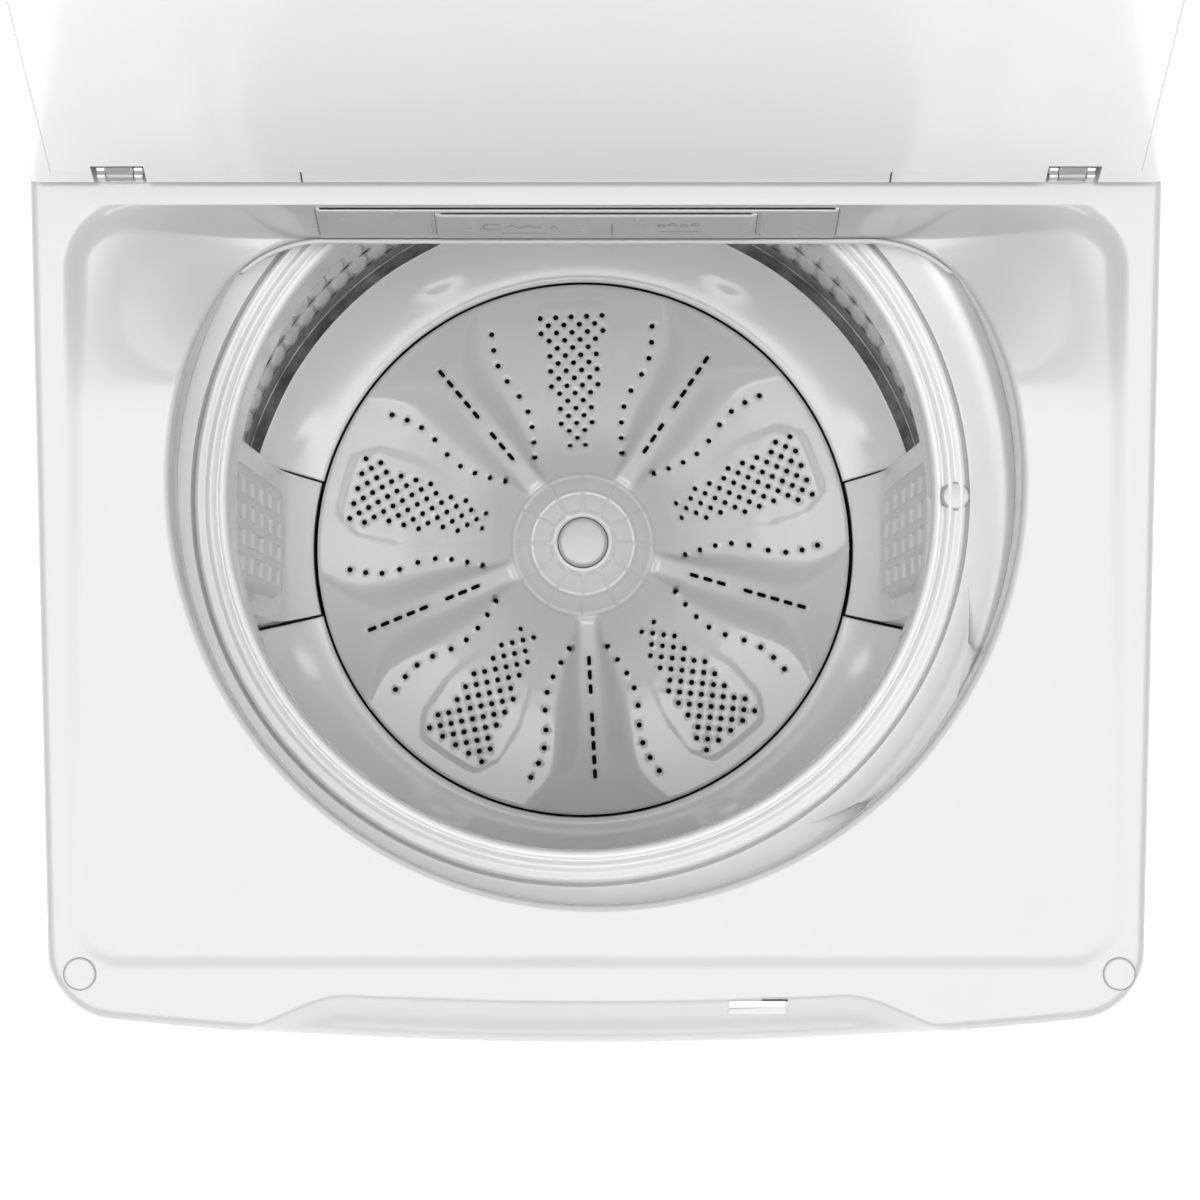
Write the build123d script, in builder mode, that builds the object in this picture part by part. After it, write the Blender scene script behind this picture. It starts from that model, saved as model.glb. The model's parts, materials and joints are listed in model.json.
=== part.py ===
from build123d import *
import math
import os

os.makedirs("parts", exist_ok=True)

# A top load washing machine, stored with its lid open.
# Frame: origin on the floor under the middle of the machine, +X right, +Y rear, +Z up, front at -Y.

# ------------------------------------------------------------------ driving dimensions, mm
DECK_HALF = 345
DECK_FRONT_HALF = 334
DECK_FRONT_Y = -350
DECK_CORNER_Y = -330
DECK_REAR_Y = 350
TAPER_Y = 174
DECK_TOP_Z = 950
DECK_SLOPE = 3.8
DECK_SKIRT_Z = 868
DECK_WALL = 3
FRONT_CORNER_RADIUS = 37

RECESS_HALF = 326
RECESS_REAR_Y = 161
RECESS_FRONT_Y = -300
RECESS_DEPTH = 12

OPENING_RADIUS = 260
OPENING_Y = -4.4
OPENING_FLAT_Y = 149
OPENING_FLANGE_Z = 895
WELL_HALF = 225
WELL_FLOOR_Z = 890
WELL_FRONT_Y = 60

CABINET_HALF = 330
CABINET_FRONT_Y = -325
CABINET_REAR_Y = 348
CABINET_FOOT_Z = 60
SHEET = 1.5
BASE_Z = 28
FOOT_HALF_X = 288
FOOT_FRONT_Y = -285
FOOT_REAR_Y = 308

TUB_X = -10
TUB_Y = -10
TUB_INNER_R = 272
TUB_OUTER_R = 275
TUB_FLOOR_Z = 345
TUB_RIM_Z = 866

WALL_OUTER_R = 258
WALL_INNER_R = 257
WALL_FOOT_Z = 437
WALL_TOP_Z = 846
LIP_R = 221
GROOVE_R = 243
IMPELLER_R = 198
IMPELLER_RIM_Z = 410
HUB_TOP_Z = 472
CAP_R = 17.8
RIB_COUNT = 5
RIB_ANGLE = 273
PAD_ANGLE = 93

SHAFT_R = 12
SPIN_TUBE_R = 17
RUNNING_GAP = 0.06
PULLEY_R = 90
MOTOR_PULLEY_R = 22.5
PULLEY_Z = 200
PULLEY_WIDTH = 20
MOTOR_OFFSET = 180

ROD_OFFSET = 228
ROD_R = 5
ROD_FOOT_Z = 312
EAR_Z = 400
EAR_THICKNESS = 20

HINGE_Y = 181
HINGE_Z = 961
LID_LEAN = 16
LID_LENGTH = 523
LID_HALF = 343
LID_FRONT_HALF = 333
LID_THICKNESS = 30
LID_INNER = 8
KNUCKLE_X = 288
KNUCKLE_R = 7
PIN_R = 3

CONSOLE_HALF = 335
CONSOLE_FRONT_Y = 224
CONSOLE_TOP_Y = 272
CONSOLE_BACK_Y = 346
CONSOLE_TOP_Z = 1100
CONSOLE_WALL = 3

HOUSING_LEFT = -171
HOUSING_RIGHT = 148
HOUSING_FLOOR_Z = 893
HOUSING_TOP_Z = 944
DRAWER_HALF = 98.4
DRAWER_LENGTH = 160

# ------------------------------------------------------------------ planes and shared shapes
SLOPE = math.tan(math.radians(DECK_SLOPE))
DECK_PLANE = Plane(
    origin=(0, TAPER_Y, DECK_TOP_Z),
    x_dir=(1, 0, 0),
    z_dir=(0, -math.sin(math.radians(DECK_SLOPE)), math.cos(math.radians(DECK_SLOPE))),
)
LID_PLANE = Plane(
    origin=(0, HINGE_Y, HINGE_Z),
    x_dir=(1, 0, 0),
    z_dir=(0, -math.cos(math.radians(LID_LEAN)), math.sin(math.radians(LID_LEAN))),
)
CONSOLE_RISE = math.hypot(CONSOLE_TOP_Y - CONSOLE_FRONT_Y, CONSOLE_TOP_Z - DECK_TOP_Z)
CONSOLE_PLANE = Plane(
    origin=(0, CONSOLE_FRONT_Y, DECK_TOP_Z),
    x_dir=(1, 0, 0),
    z_dir=(
        0,
        -(CONSOLE_TOP_Z - DECK_TOP_Z) / CONSOLE_RISE,
        (CONSOLE_TOP_Y - CONSOLE_FRONT_Y) / CONSOLE_RISE,
    ),
)
TUB_AXIS = Axis((TUB_X, TUB_Y, 0), (0, 0, 1))
MOTOR_X = TUB_X + MOTOR_OFFSET
ROD_POINTS = [
    (TUB_X + side * ROD_OFFSET, TUB_Y + end * ROD_OFFSET) for side in (-1, 1) for end in (-1, 1)
]
FOOT_POINTS = [(side * FOOT_HALF_X, y) for side in (-1, 1) for y in (FOOT_FRONT_Y, FOOT_REAR_Y)]


def rim_z(y):
    """Height of the deck's sloping top at depth y."""
    return DECK_TOP_Z - max(0, TAPER_Y - y) * SLOPE


def tub_plane(z):
    """Level plane at height z with its origin on the tub's axis."""
    return Plane(origin=(TUB_X, TUB_Y, z))


def side_prism(points, x_from, x_to):
    """Solid with a side profile of (y, z) points, from x_from to x_to."""
    with BuildPart() as prism:
        with BuildSketch(Plane.YZ.offset(x_from)):
            with BuildLine():
                Polyline(*points, close=True)
            make_face()
        extrude(amount=x_to - x_from)
    return prism.part


def radial_plane(degrees):
    """Upright plane through the tub's axis, its x pointing out at the given angle."""
    turn = math.radians(degrees)
    return Plane(
        origin=(TUB_X, TUB_Y, 0),
        x_dir=(math.cos(turn), math.sin(turn), 0),
        z_dir=(math.sin(turn), -math.cos(turn), 0),
    )


def ring_of(points):
    """Solid of revolution about the tub's axis from (radius, z) points."""
    with BuildPart() as ring:
        with BuildSketch(radial_plane(0)):
            with BuildLine():
                Polyline(*points, close=True)
            make_face()
        revolve(axis=TUB_AXIS)
    return ring.part


# ------------------------------------------------------------------ top deck
def deck_outline(inset=0):
    """Deck plan: parallel at the rear, narrowing forward to a bowed front edge."""
    with BuildSketch() as outline:
        with BuildLine():
            Polyline(
                (-DECK_FRONT_HALF, DECK_CORNER_Y),
                (-DECK_HALF, TAPER_Y),
                (-DECK_HALF, DECK_REAR_Y),
                (DECK_HALF, DECK_REAR_Y),
                (DECK_HALF, TAPER_Y),
                (DECK_FRONT_HALF, DECK_CORNER_Y),
            )
            ThreePointArc(
                (-DECK_FRONT_HALF, DECK_CORNER_Y), (0, DECK_FRONT_Y), (DECK_FRONT_HALF, DECK_CORNER_Y)
            )
        make_face()
        fillet(outline.vertices().group_by(Axis.Y)[0], FRONT_CORNER_RADIUS)
        fillet(outline.vertices().group_by(Axis.Y)[-1], 12)
        if inset:
            offset(amount=-inset)
    return outline.sketch


def opening_outline(grow=0):
    """Laundry opening: a circle with a straight rear edge and rounded corners."""
    with BuildSketch() as outline:
        with Locations((0, OPENING_Y)):
            Circle(OPENING_RADIUS + grow)
        with Locations((0, OPENING_FLAT_Y + grow)):
            Rectangle(800, 400, align=(Align.CENTER, Align.MIN), mode=Mode.SUBTRACT)
        fillet(outline.vertices(), 28)
    return outline.sketch


def recess_void(grow):
    """Shallow recess around the opening, fading out toward the front."""
    rear_floor = rim_z(RECESS_REAR_Y) - RECESS_DEPTH - grow
    front_floor = rim_z(RECESS_FRONT_Y) - grow
    with BuildPart() as void:
        with BuildSketch(Plane.XY.offset(DECK_SKIRT_Z)):
            with Locations((0, (RECESS_REAR_Y + RECESS_FRONT_Y) / 2)):
                RectangleRounded(
                    2 * (RECESS_HALF + grow), RECESS_REAR_Y - RECESS_FRONT_Y + 2 * grow, 38 + grow
                )
        extrude(amount=130)
        floor = [
            (RECESS_REAR_Y + 20, rear_floor),
            (RECESS_FRONT_Y - 20, front_floor),
            (RECESS_FRONT_Y - 20, DECK_SKIRT_Z - 1),
            (RECESS_REAR_Y + 20, DECK_SKIRT_Z - 1),
        ]
        add(side_prism(floor, -400, 400), mode=Mode.SUBTRACT)
    return void.part


def well_void(grow):
    """Deep rear part of the recess, in front of the dispenser."""
    profile = [
        (RECESS_REAR_Y + grow, DECK_TOP_Z + 10),
        (OPENING_FLAT_Y + grow, WELL_FLOOR_Z - grow),
        (WELL_FRONT_Y - grow, WELL_FLOOR_Z - grow),
        (WELL_FRONT_Y - grow, DECK_TOP_Z + 10),
    ]
    return side_prism(profile, -WELL_HALF - grow, WELL_HALF + grow)


def scoop_void(grow):
    """Hand recess in the front edge, sloping down and forward."""
    drop = 1.6 * grow
    with BuildPart() as void:
        with BuildSketch(Plane.XY.offset(DECK_SKIRT_Z)) as plan:
            with BuildLine():
                Polyline((-232, -372), (-158, -326), (158, -326), (232, -372), close=True)
            make_face()
            fillet(plan.vertices().group_by(Axis.Y)[-1], 70)
            if grow:
                offset(amount=grow)
        extrude(amount=130)
        floor = [
            (-300, 947 - drop),
            (-324, 916 - drop),
            (-352, 880 - drop),
            (-380, 844 - drop),
            (-380, 800),
            (-300, 800),
        ]
        add(side_prism(floor, -400, 400), mode=Mode.SUBTRACT)
    return void.part


def deck_mass(grow):
    """Everything under the deck's top surface, drawn in by the wall thickness grow."""
    over_top = [
        (-400, rim_z(-400) - grow),
        (TAPER_Y, DECK_TOP_Z - grow),
        (400, DECK_TOP_Z - grow),
        (400, 1100),
        (-400, 1100),
    ]
    with BuildPart() as mass:
        with BuildSketch(Plane.XY.offset(DECK_SKIRT_Z + grow)):
            add(deck_outline(grow))
        extrude(amount=100)
        add(side_prism(over_top, -400, 400), mode=Mode.SUBTRACT)
        add(recess_void(grow), mode=Mode.SUBTRACT)
        add(well_void(grow), mode=Mode.SUBTRACT)
        add(scoop_void(grow), mode=Mode.SUBTRACT)
        if grow:
            with BuildSketch(Plane.XY.offset(OPENING_FLANGE_Z)):
                add(opening_outline(grow))
            extrude(amount=100, mode=Mode.SUBTRACT)
    return mass.part


BUMPER_X = 318.7
BUMPER_V = -483
BUMPER_R = 9.8
LOCK_LEFT = 75
LOCK_RIGHT = 122
STRIKE_X = 98
STRIKE_Y = -308
STRIKE_V = 490
TAB_LEFT = 81
TAB_RIGHT = 116

with BuildPart() as top_deck:
    add(deck_mass(0))
    add(deck_mass(DECK_WALL), mode=Mode.SUBTRACT)
    with BuildSketch(Plane.XY.offset(DECK_SKIRT_Z)):
        add(opening_outline())
    extrude(amount=100, mode=Mode.SUBTRACT)
    with BuildSketch(Plane.XY.offset(DECK_SKIRT_Z)):
        add(deck_outline(26))
    extrude(amount=DECK_WALL, mode=Mode.SUBTRACT)
    window = [
        (OPENING_FLAT_Y - 8, HOUSING_FLOOR_Z - 0.4),
        (RECESS_REAR_Y - 8, HOUSING_TOP_Z + 0.4),
        (RECESS_REAR_Y + 12, HOUSING_TOP_Z + 0.4),
        (RECESS_REAR_Y + 12, HOUSING_FLOOR_Z - 0.4),
    ]
    add(side_prism(window, HOUSING_LEFT - 0.4, HOUSING_RIGHT + 0.4), mode=Mode.SUBTRACT)
    with BuildSketch(DECK_PLANE.offset(-20)):
        with Locations((-BUMPER_X, BUMPER_V), (BUMPER_X, BUMPER_V)):
            Circle(4)
    extrude(amount=30, mode=Mode.SUBTRACT)
    with BuildSketch(Plane.XY.offset(OPENING_FLANGE_Z)):
        with Locations((STRIKE_X, STRIKE_Y)):
            Rectangle(16, 9)
    extrude(amount=40, mode=Mode.SUBTRACT)
    with BuildSketch(Plane.XZ.offset(318)):
        with Locations(((TAB_LEFT + TAB_RIGHT) / 2, 906)):
            Rectangle(TAB_RIGHT - TAB_LEFT + 0.8, 6.8)
    extrude(amount=20, mode=Mode.SUBTRACT)
top_deck.part.label = "top_deck"
export_step(top_deck.part, "parts/top_deck.step")

# ------------------------------------------------------------------ lid bumpers: two rubber buttons
with BuildPart() as lid_bumpers:
    with BuildSketch(DECK_PLANE):
        with Locations((-BUMPER_X, BUMPER_V), (BUMPER_X, BUMPER_V)):
            Circle(BUMPER_R)
    extrude(amount=2.4)
    fillet(lid_bumpers.edges().filter_by(GeomType.CIRCLE).group_by(Axis.Z)[-1], 1)
    with BuildSketch(DECK_PLANE):
        with Locations((-BUMPER_X, BUMPER_V), (BUMPER_X, BUMPER_V)):
            Circle(3.9)
    extrude(amount=-8)
lid_bumpers.part.label = "lid_bumpers"
export_step(lid_bumpers.part, "parts/lid_bumpers.step")

# ------------------------------------------------------------------ lid lock under the front of the deck
with BuildPart() as lid_lock:
    with BuildSketch(Plane.XY.offset(882)):
        with Locations(((LOCK_LEFT + LOCK_RIGHT) / 2, -300)):
            Rectangle(LOCK_RIGHT - LOCK_LEFT, 32)
    extrude(amount=26)
    with BuildSketch(Plane.XZ.offset(315)):
        with Locations(((TAB_LEFT + TAB_RIGHT) / 2, 906)):
            Rectangle(TAB_RIGHT - TAB_LEFT, 6)
    extrude(amount=16)
    with BuildSketch(Plane.XY.offset(886)):
        with Locations((STRIKE_X, STRIKE_Y)):
            Rectangle(17, 10)
    extrude(amount=30, mode=Mode.SUBTRACT)
lid_lock.part.label = "lid_lock"
export_step(lid_lock.part, "parts/lid_lock.step")


# ------------------------------------------------------------------ cabinet: one bent sheet ring in four panels
def cabinet_section(inset=0):
    """Plan of the sheet steel cabinet, or the same drawn in."""
    with BuildSketch() as section:
        with Locations((0, (CABINET_FRONT_Y + CABINET_REAR_Y) / 2)):
            RectangleRounded(
                2 * (CABINET_HALF - inset), CABINET_REAR_Y - CABINET_FRONT_Y - 2 * inset, 16 - inset
            )
    return section.sketch


FRONT_SEAM_Y = CABINET_FRONT_Y + 30
REAR_SEAM_Y = CABINET_REAR_Y - 20


def cabinet_panel(x_mid, y_low, y_high, width):
    """The part of the cabinet ring inside one rectangle, as a tall sheet."""
    with BuildPart() as panel:
        with BuildSketch(Plane.XY.offset(CABINET_FOOT_Z)):
            add(cabinet_section())
            add(cabinet_section(SHEET), mode=Mode.SUBTRACT)
            with Locations((x_mid, (y_low + y_high) / 2)):
                Rectangle(width, y_high - y_low, mode=Mode.INTERSECT)
        extrude(amount=DECK_SKIRT_Z - CABINET_FOOT_Z)
    return panel.part


with BuildPart() as front_panel:
    add(cabinet_panel(0, CABINET_FRONT_Y - 10, FRONT_SEAM_Y, 800))
front_panel.part.label = "front_panel"
export_step(front_panel.part, "parts/front_panel.step")

with BuildPart() as side_panel_left:
    add(cabinet_panel(-CABINET_HALF, FRONT_SEAM_Y, REAR_SEAM_Y, 60))
side_panel_left.part.label = "side_panel_left"
export_step(side_panel_left.part, "parts/side_panel_left.step")

with BuildPart() as side_panel_right:
    add(cabinet_panel(CABINET_HALF, FRONT_SEAM_Y, REAR_SEAM_Y, 60))
side_panel_right.part.label = "side_panel_right"
export_step(side_panel_right.part, "parts/side_panel_right.step")

INLET_X = 250
INLET_Z = 830
INLET_PITCH = 60
OUTLET_X = 40
OUTLET_Z = 820
GLAND_X = -250
GLAND_Z = 820

with BuildPart() as rear_panel:
    add(cabinet_panel(0, REAR_SEAM_Y, CABINET_REAR_Y + 10, 800))
    with BuildSketch(Plane.XZ.offset(-CABINET_REAR_Y - 5)):
        with Locations((INLET_X - INLET_PITCH / 2, INLET_Z), (INLET_X + INLET_PITCH / 2, INLET_Z)):
            Circle(15)
        with Locations((OUTLET_X, OUTLET_Z)):
            Circle(19)
        with Locations((GLAND_X, GLAND_Z)):
            Circle(9)
    extrude(amount=30, mode=Mode.SUBTRACT)
rear_panel.part.label = "rear_panel"
export_step(rear_panel.part, "parts/rear_panel.step")

# ------------------------------------------------------------------ base frame, feet and corner braces
with BuildPart() as base_frame:
    with BuildSketch(Plane.XY.offset(BASE_Z)):
        add(cabinet_section())
        add(cabinet_section(14), mode=Mode.SUBTRACT)
    extrude(amount=CABINET_FOOT_Z - BASE_Z)
    with BuildSketch(Plane.XY.offset(BASE_Z)):
        with Locations(*FOOT_POINTS):
            Rectangle(90, 90)
        add(cabinet_section(1), mode=Mode.INTERSECT)
    extrude(amount=5)
    with BuildSketch(Plane.XY.offset(BASE_Z)):
        with Locations(*FOOT_POINTS):
            Circle(5.3)
    extrude(amount=5, mode=Mode.SUBTRACT)
base_frame.part.label = "base_frame"
export_step(base_frame.part, "parts/base_frame.step")

with BuildPart() as foot_studs:
    with BuildSketch(Plane.XY.offset(12)):
        with Locations(*FOOT_POINTS):
            Circle(5)
    extrude(amount=36)
    with BuildSketch(Plane.XY.offset(BASE_Z - 7)):
        with Locations(*FOOT_POINTS):
            RegularPolygon(9, 6)
    extrude(amount=7)
foot_studs.part.label = "foot_studs"
export_step(foot_studs.part, "parts/foot_studs.step")

with BuildPart() as foot_pads:
    with BuildSketch():
        with Locations(*FOOT_POINTS):
            Circle(22)
    extrude(amount=12, taper=12)
foot_pads.part.label = "foot_pads"
export_step(foot_pads.part, "parts/foot_pads.step")

# ------------------------------------------------------------------ suspension: hangers, rods and springs
with BuildPart() as suspension_hangers:
    for x, y in ROD_POINTS:
        inner_x = x - math.copysign(18, x)
        wall_x = math.copysign(CABINET_HALF - SHEET, x)
        with BuildSketch(Plane.XY.offset(838)):
            with Locations(((inner_x + wall_x) / 2, y)):
                Rectangle(abs(wall_x - inner_x), 44)
            with Locations((x, y)):
                Circle(ROD_R + 0.5, mode=Mode.SUBTRACT)
        extrude(amount=6)
        with BuildSketch(Plane.XY.offset(800)):
            with Locations((wall_x - math.copysign(1.5, x), y)):
                Rectangle(3, 44)
        extrude(amount=38)
suspension_hangers.part.label = "suspension_hangers"
export_step(suspension_hangers.part, "parts/suspension_hangers.step")

with BuildPart() as suspension_rods:
    with BuildSketch(Plane.XY.offset(ROD_FOOT_Z - 6)):
        with Locations(*ROD_POINTS):
            Circle(18)
    extrude(amount=6)
    with BuildSketch(Plane.XY.offset(ROD_FOOT_Z)):
        with Locations(*ROD_POINTS):
            Circle(ROD_R)
    extrude(amount=844 - ROD_FOOT_Z)
    with BuildSketch(Plane.XY.offset(844)):
        with Locations(*ROD_POINTS):
            Circle(11)
    extrude(amount=6)
suspension_rods.part.label = "suspension_rods"
export_step(suspension_rods.part, "parts/suspension_rods.step")

SPRING_R = 11
SPRING_WIRE_R = 2.2
SPRING_PITCH = 9.6
SPRING_LIFT = SPRING_WIRE_R + 0.2
SPRING_HEIGHT = EAR_Z - ROD_FOOT_Z - 2 * SPRING_LIFT


def coil_spring(x, y):
    """One helical spring standing on a rod's foot."""
    with BuildPart() as coil:
        with BuildLine():
            wire = Helix(
                pitch=SPRING_PITCH,
                height=SPRING_HEIGHT,
                radius=SPRING_R,
                center=(x, y, ROD_FOOT_Z + SPRING_LIFT),
            )
        with BuildSketch(Plane(origin=wire @ 0, z_dir=wire % 0)):
            Circle(SPRING_WIRE_R)
        sweep()
    return coil.part


with BuildPart() as suspension_springs:
    for x, y in ROD_POINTS:
        add(coil_spring(x, y))
suspension_springs.part.label = "suspension_springs"
export_step(suspension_springs.part, "parts/suspension_springs.step")

# ------------------------------------------------------------------ outer tub with ears, and its top ring
with BuildPart() as outer_tub:
    add(
        ring_of(
            [
                (20, TUB_FLOOR_Z),
                (TUB_OUTER_R, TUB_FLOOR_Z),
                (TUB_OUTER_R, TUB_RIM_Z),
                (TUB_INNER_R, TUB_RIM_Z),
                (TUB_INNER_R, TUB_FLOOR_Z + 5),
                (20, TUB_FLOOR_Z + 5),
            ]
        )
    )
    for x, y in ROD_POINTS:
        turn = math.degrees(math.atan2(y - TUB_Y, x - TUB_X))
        with BuildSketch(Plane.XY.offset(EAR_Z)):
            with Locations(Location((x, y, 0), (0, 0, turn))):
                Rectangle(120, 44)
                Circle(ROD_R + 1, mode=Mode.SUBTRACT)
            with Locations((TUB_X, TUB_Y)):
                Circle(TUB_INNER_R + 1, mode=Mode.SUBTRACT)
        extrude(amount=EAR_THICKNESS)
    with BuildSketch(tub_plane(TUB_FLOOR_Z - 10)):
        with PolarLocations(182, 8, 22.5):
            Rectangle(170, 4)
    extrude(amount=10)
outer_tub.part.label = "outer_tub"
export_step(outer_tub.part, "parts/outer_tub.step")

with BuildPart() as tub_ring:
    add(
        ring_of(
            [
                (TUB_OUTER_R + 0.2, 850),
                (281, 850),
                (281, 870),
                (270, 876.5),
                (258, 878),
                (249, 875),
                (244.5, 867),
                (244.5, 864),
                (247.5, 865),
                (251, 871),
                (259, 874.5),
                (268, 873.5),
                (TUB_OUTER_R + 0.2, 868),
            ]
        )
    )
tub_ring.part.label = "tub_ring"
export_step(tub_ring.part, "parts/tub_ring.step")

# ------------------------------------------------------------------ bearing housing and bearings
with BuildPart() as bearing_housing:
    add(
        ring_of(
            [
                (31, 262),
                (38, 262),
                (38, 322),
                (60, 327),
                (90, 327),
                (90, 335),
                (31, 335),
            ]
        )
    )
    with BuildSketch(tub_plane(335)):
        Circle(90)
        Circle(31, mode=Mode.SUBTRACT)
    extrude(amount=10)
    with BuildSketch(tub_plane(335)):
        with PolarLocations(182, 8, 22.5):
            Rectangle(190, 5)
    extrude(amount=10, mode=Mode.SUBTRACT)
bearing_housing.part.label = "bearing_housing"
export_step(bearing_housing.part, "parts/bearing_housing.step")

with BuildPart() as tub_bearings:
    for z in (264, 318):
        with BuildSketch(tub_plane(z)):
            Circle(30.9)
            Circle(SPIN_TUBE_R + RUNNING_GAP, mode=Mode.SUBTRACT)
        extrude(amount=16)
tub_bearings.part.label = "tub_bearings"
export_step(tub_bearings.part, "parts/tub_bearings.step")

# ------------------------------------------------------------------ drive motor, belt and pulleys
with BuildPart() as drive_motor:
    with BuildSketch(Plane(origin=(MOTOR_X, TUB_Y, 240))):
        Circle(58)
    extrude(amount=80)
    fillet(drive_motor.edges().filter_by(GeomType.CIRCLE), 6)
    with BuildSketch(Plane(origin=(MOTOR_X, TUB_Y, 320))):
        Rectangle(70, 150)
    extrude(amount=TUB_FLOOR_Z - 10 - 320)
    with BuildSketch(Plane(origin=(MOTOR_X, TUB_Y, 230))):
        Circle(8.2)
    extrude(amount=60, mode=Mode.SUBTRACT)
drive_motor.part.label = "drive_motor"
export_step(drive_motor.part, "parts/drive_motor.step")

with BuildPart() as motor_rotor:
    with BuildSketch(Plane(origin=(MOTOR_X, TUB_Y, 192))):
        Circle(8.14)
    extrude(amount=95)
    with BuildSketch(Plane(origin=(MOTOR_X, TUB_Y, PULLEY_Z - 2))):
        Circle(MOTOR_PULLEY_R + 4)
    extrude(amount=PULLEY_WIDTH + 4)
    with BuildSketch(Plane(origin=(MOTOR_X, TUB_Y, PULLEY_Z + 4))):
        Circle(MOTOR_PULLEY_R + 6)
        Circle(MOTOR_PULLEY_R, mode=Mode.SUBTRACT)
    extrude(amount=PULLEY_WIDTH - 8, mode=Mode.SUBTRACT)
motor_rotor.part.label = "motor_rotor"
export_step(motor_rotor.part, "parts/motor_rotor.step")

with BuildPart() as drive_pulley:
    with BuildSketch(tub_plane(PULLEY_Z)):
        Circle(PULLEY_R + 4)
    extrude(amount=PULLEY_WIDTH)
    with BuildSketch(tub_plane(PULLEY_Z + 4)):
        Circle(PULLEY_R + 6)
        Circle(PULLEY_R, mode=Mode.SUBTRACT)
    extrude(amount=PULLEY_WIDTH - 8, mode=Mode.SUBTRACT)
    with BuildSketch(tub_plane(PULLEY_Z)):
        with PolarLocations(52, 6):
            Circle(20)
        Circle(SHAFT_R + 0.1)
    extrude(amount=PULLEY_WIDTH, mode=Mode.SUBTRACT)
drive_pulley.part.label = "drive_pulley"
export_step(drive_pulley.part, "parts/drive_pulley.step")


def belt_loop(gap):
    """Area inside a belt that runs gap outside both pulley grooves."""
    with BuildSketch(tub_plane(PULLEY_Z + 6)) as loop:
        Circle(PULLEY_R + gap)
        with Locations((MOTOR_OFFSET, 0)):
            Circle(MOTOR_PULLEY_R + gap)
        make_hull()
    return loop.sketch


with BuildPart() as drive_belt:
    with BuildSketch(tub_plane(PULLEY_Z + 6)):
        add(belt_loop(3.4).moved(Location((-TUB_X, -TUB_Y, -PULLEY_Z - 6))))
        add(belt_loop(0.4).moved(Location((-TUB_X, -TUB_Y, -PULLEY_Z - 6))), mode=Mode.SUBTRACT)
    extrude(amount=PULLEY_WIDTH - 12)
drive_belt.part.label = "drive_belt"
export_step(drive_belt.part, "parts/drive_belt.step")

# ------------------------------------------------------------------ drain pump, its hose and the rear outlet
PUMP_X = -140
PUMP_Y = 120
HOSE_R = 12
with BuildPart() as drain_pump:
    with BuildSketch(Plane(origin=(PUMP_X, PUMP_Y, 262))):
        Circle(34)
    extrude(amount=TUB_FLOOR_Z - 10 - 262)
    with BuildSketch(Plane.XZ.offset(-PUMP_Y)):
        with Locations((PUMP_X, 290)):
            Circle(14)
    extrude(amount=-50)
drain_pump.part.label = "drain_pump"
export_step(drain_pump.part, "parts/drain_pump.step")

HOSE_Y = 308
HOSE_LOW_Z = 290
HOSE_END_X = 10
HOSE_ROUTE = [
    (PUMP_X, PUMP_Y + 50, HOSE_LOW_Z),
    (PUMP_X, HOSE_Y, HOSE_LOW_Z),
    (PUMP_X, HOSE_Y, OUTLET_Z),
    (HOSE_END_X, HOSE_Y, OUTLET_Z),
]
with BuildPart() as drain_hose:
    with BuildLine() as route:
        FilletPolyline(*HOSE_ROUTE, radius=45)
    with BuildSketch(Plane(origin=route.line @ 0, z_dir=route.line % 0)):
        Circle(HOSE_R)
    sweep()
drain_hose.part.label = "drain_hose"
export_step(drain_hose.part, "parts/drain_hose.step")

with BuildPart() as drain_outlet:
    with BuildSketch(Plane.XZ.offset(-300)):
        with Locations((OUTLET_X, OUTLET_Z)):
            Circle(18.6)
            Circle(13, mode=Mode.SUBTRACT)
    extrude(amount=-50)
    with BuildSketch(Plane.XZ.offset(-338)):
        with Locations((OUTLET_X, OUTLET_Z)):
            Circle(26)
            Circle(13, mode=Mode.SUBTRACT)
    extrude(amount=-(CABINET_REAR_Y - SHEET - 338))
drain_outlet.part.label = "drain_outlet"
export_step(drain_outlet.part, "parts/drain_outlet.step")

# ------------------------------------------------------------------ inlet valve, fill hose and cord gland
with BuildPart() as inlet_valve:
    with BuildSketch(Plane.XY.offset(INLET_Z - 24)):
        with Locations((INLET_X, 322)):
            Rectangle(110, 40)
    extrude(amount=48)
    with BuildSketch(Plane.XZ.offset(-340)):
        with Locations((INLET_X - INLET_PITCH / 2, INLET_Z), (INLET_X + INLET_PITCH / 2, INLET_Z)):
            Circle(13)
            Circle(9, mode=Mode.SUBTRACT)
    extrude(amount=-10)
inlet_valve.part.label = "inlet_valve"
export_step(inlet_valve.part, "parts/inlet_valve.step")

FILL_X = 120
FILL_Y = 312
FILL_ROUTE = [
    (INLET_X - 55, FILL_Y, INLET_Z),
    (FILL_X, FILL_Y, INLET_Z),
    (FILL_X, FILL_Y, HOUSING_FLOOR_Z),
]
with BuildPart() as fill_hose:
    with BuildLine() as fill_line:
        FilletPolyline(*FILL_ROUTE, radius=26)
    with BuildSketch(Plane(origin=fill_line.line @ 0, z_dir=fill_line.line % 0)):
        Circle(8)
    sweep()
fill_hose.part.label = "fill_hose"
export_step(fill_hose.part, "parts/fill_hose.step")

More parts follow.
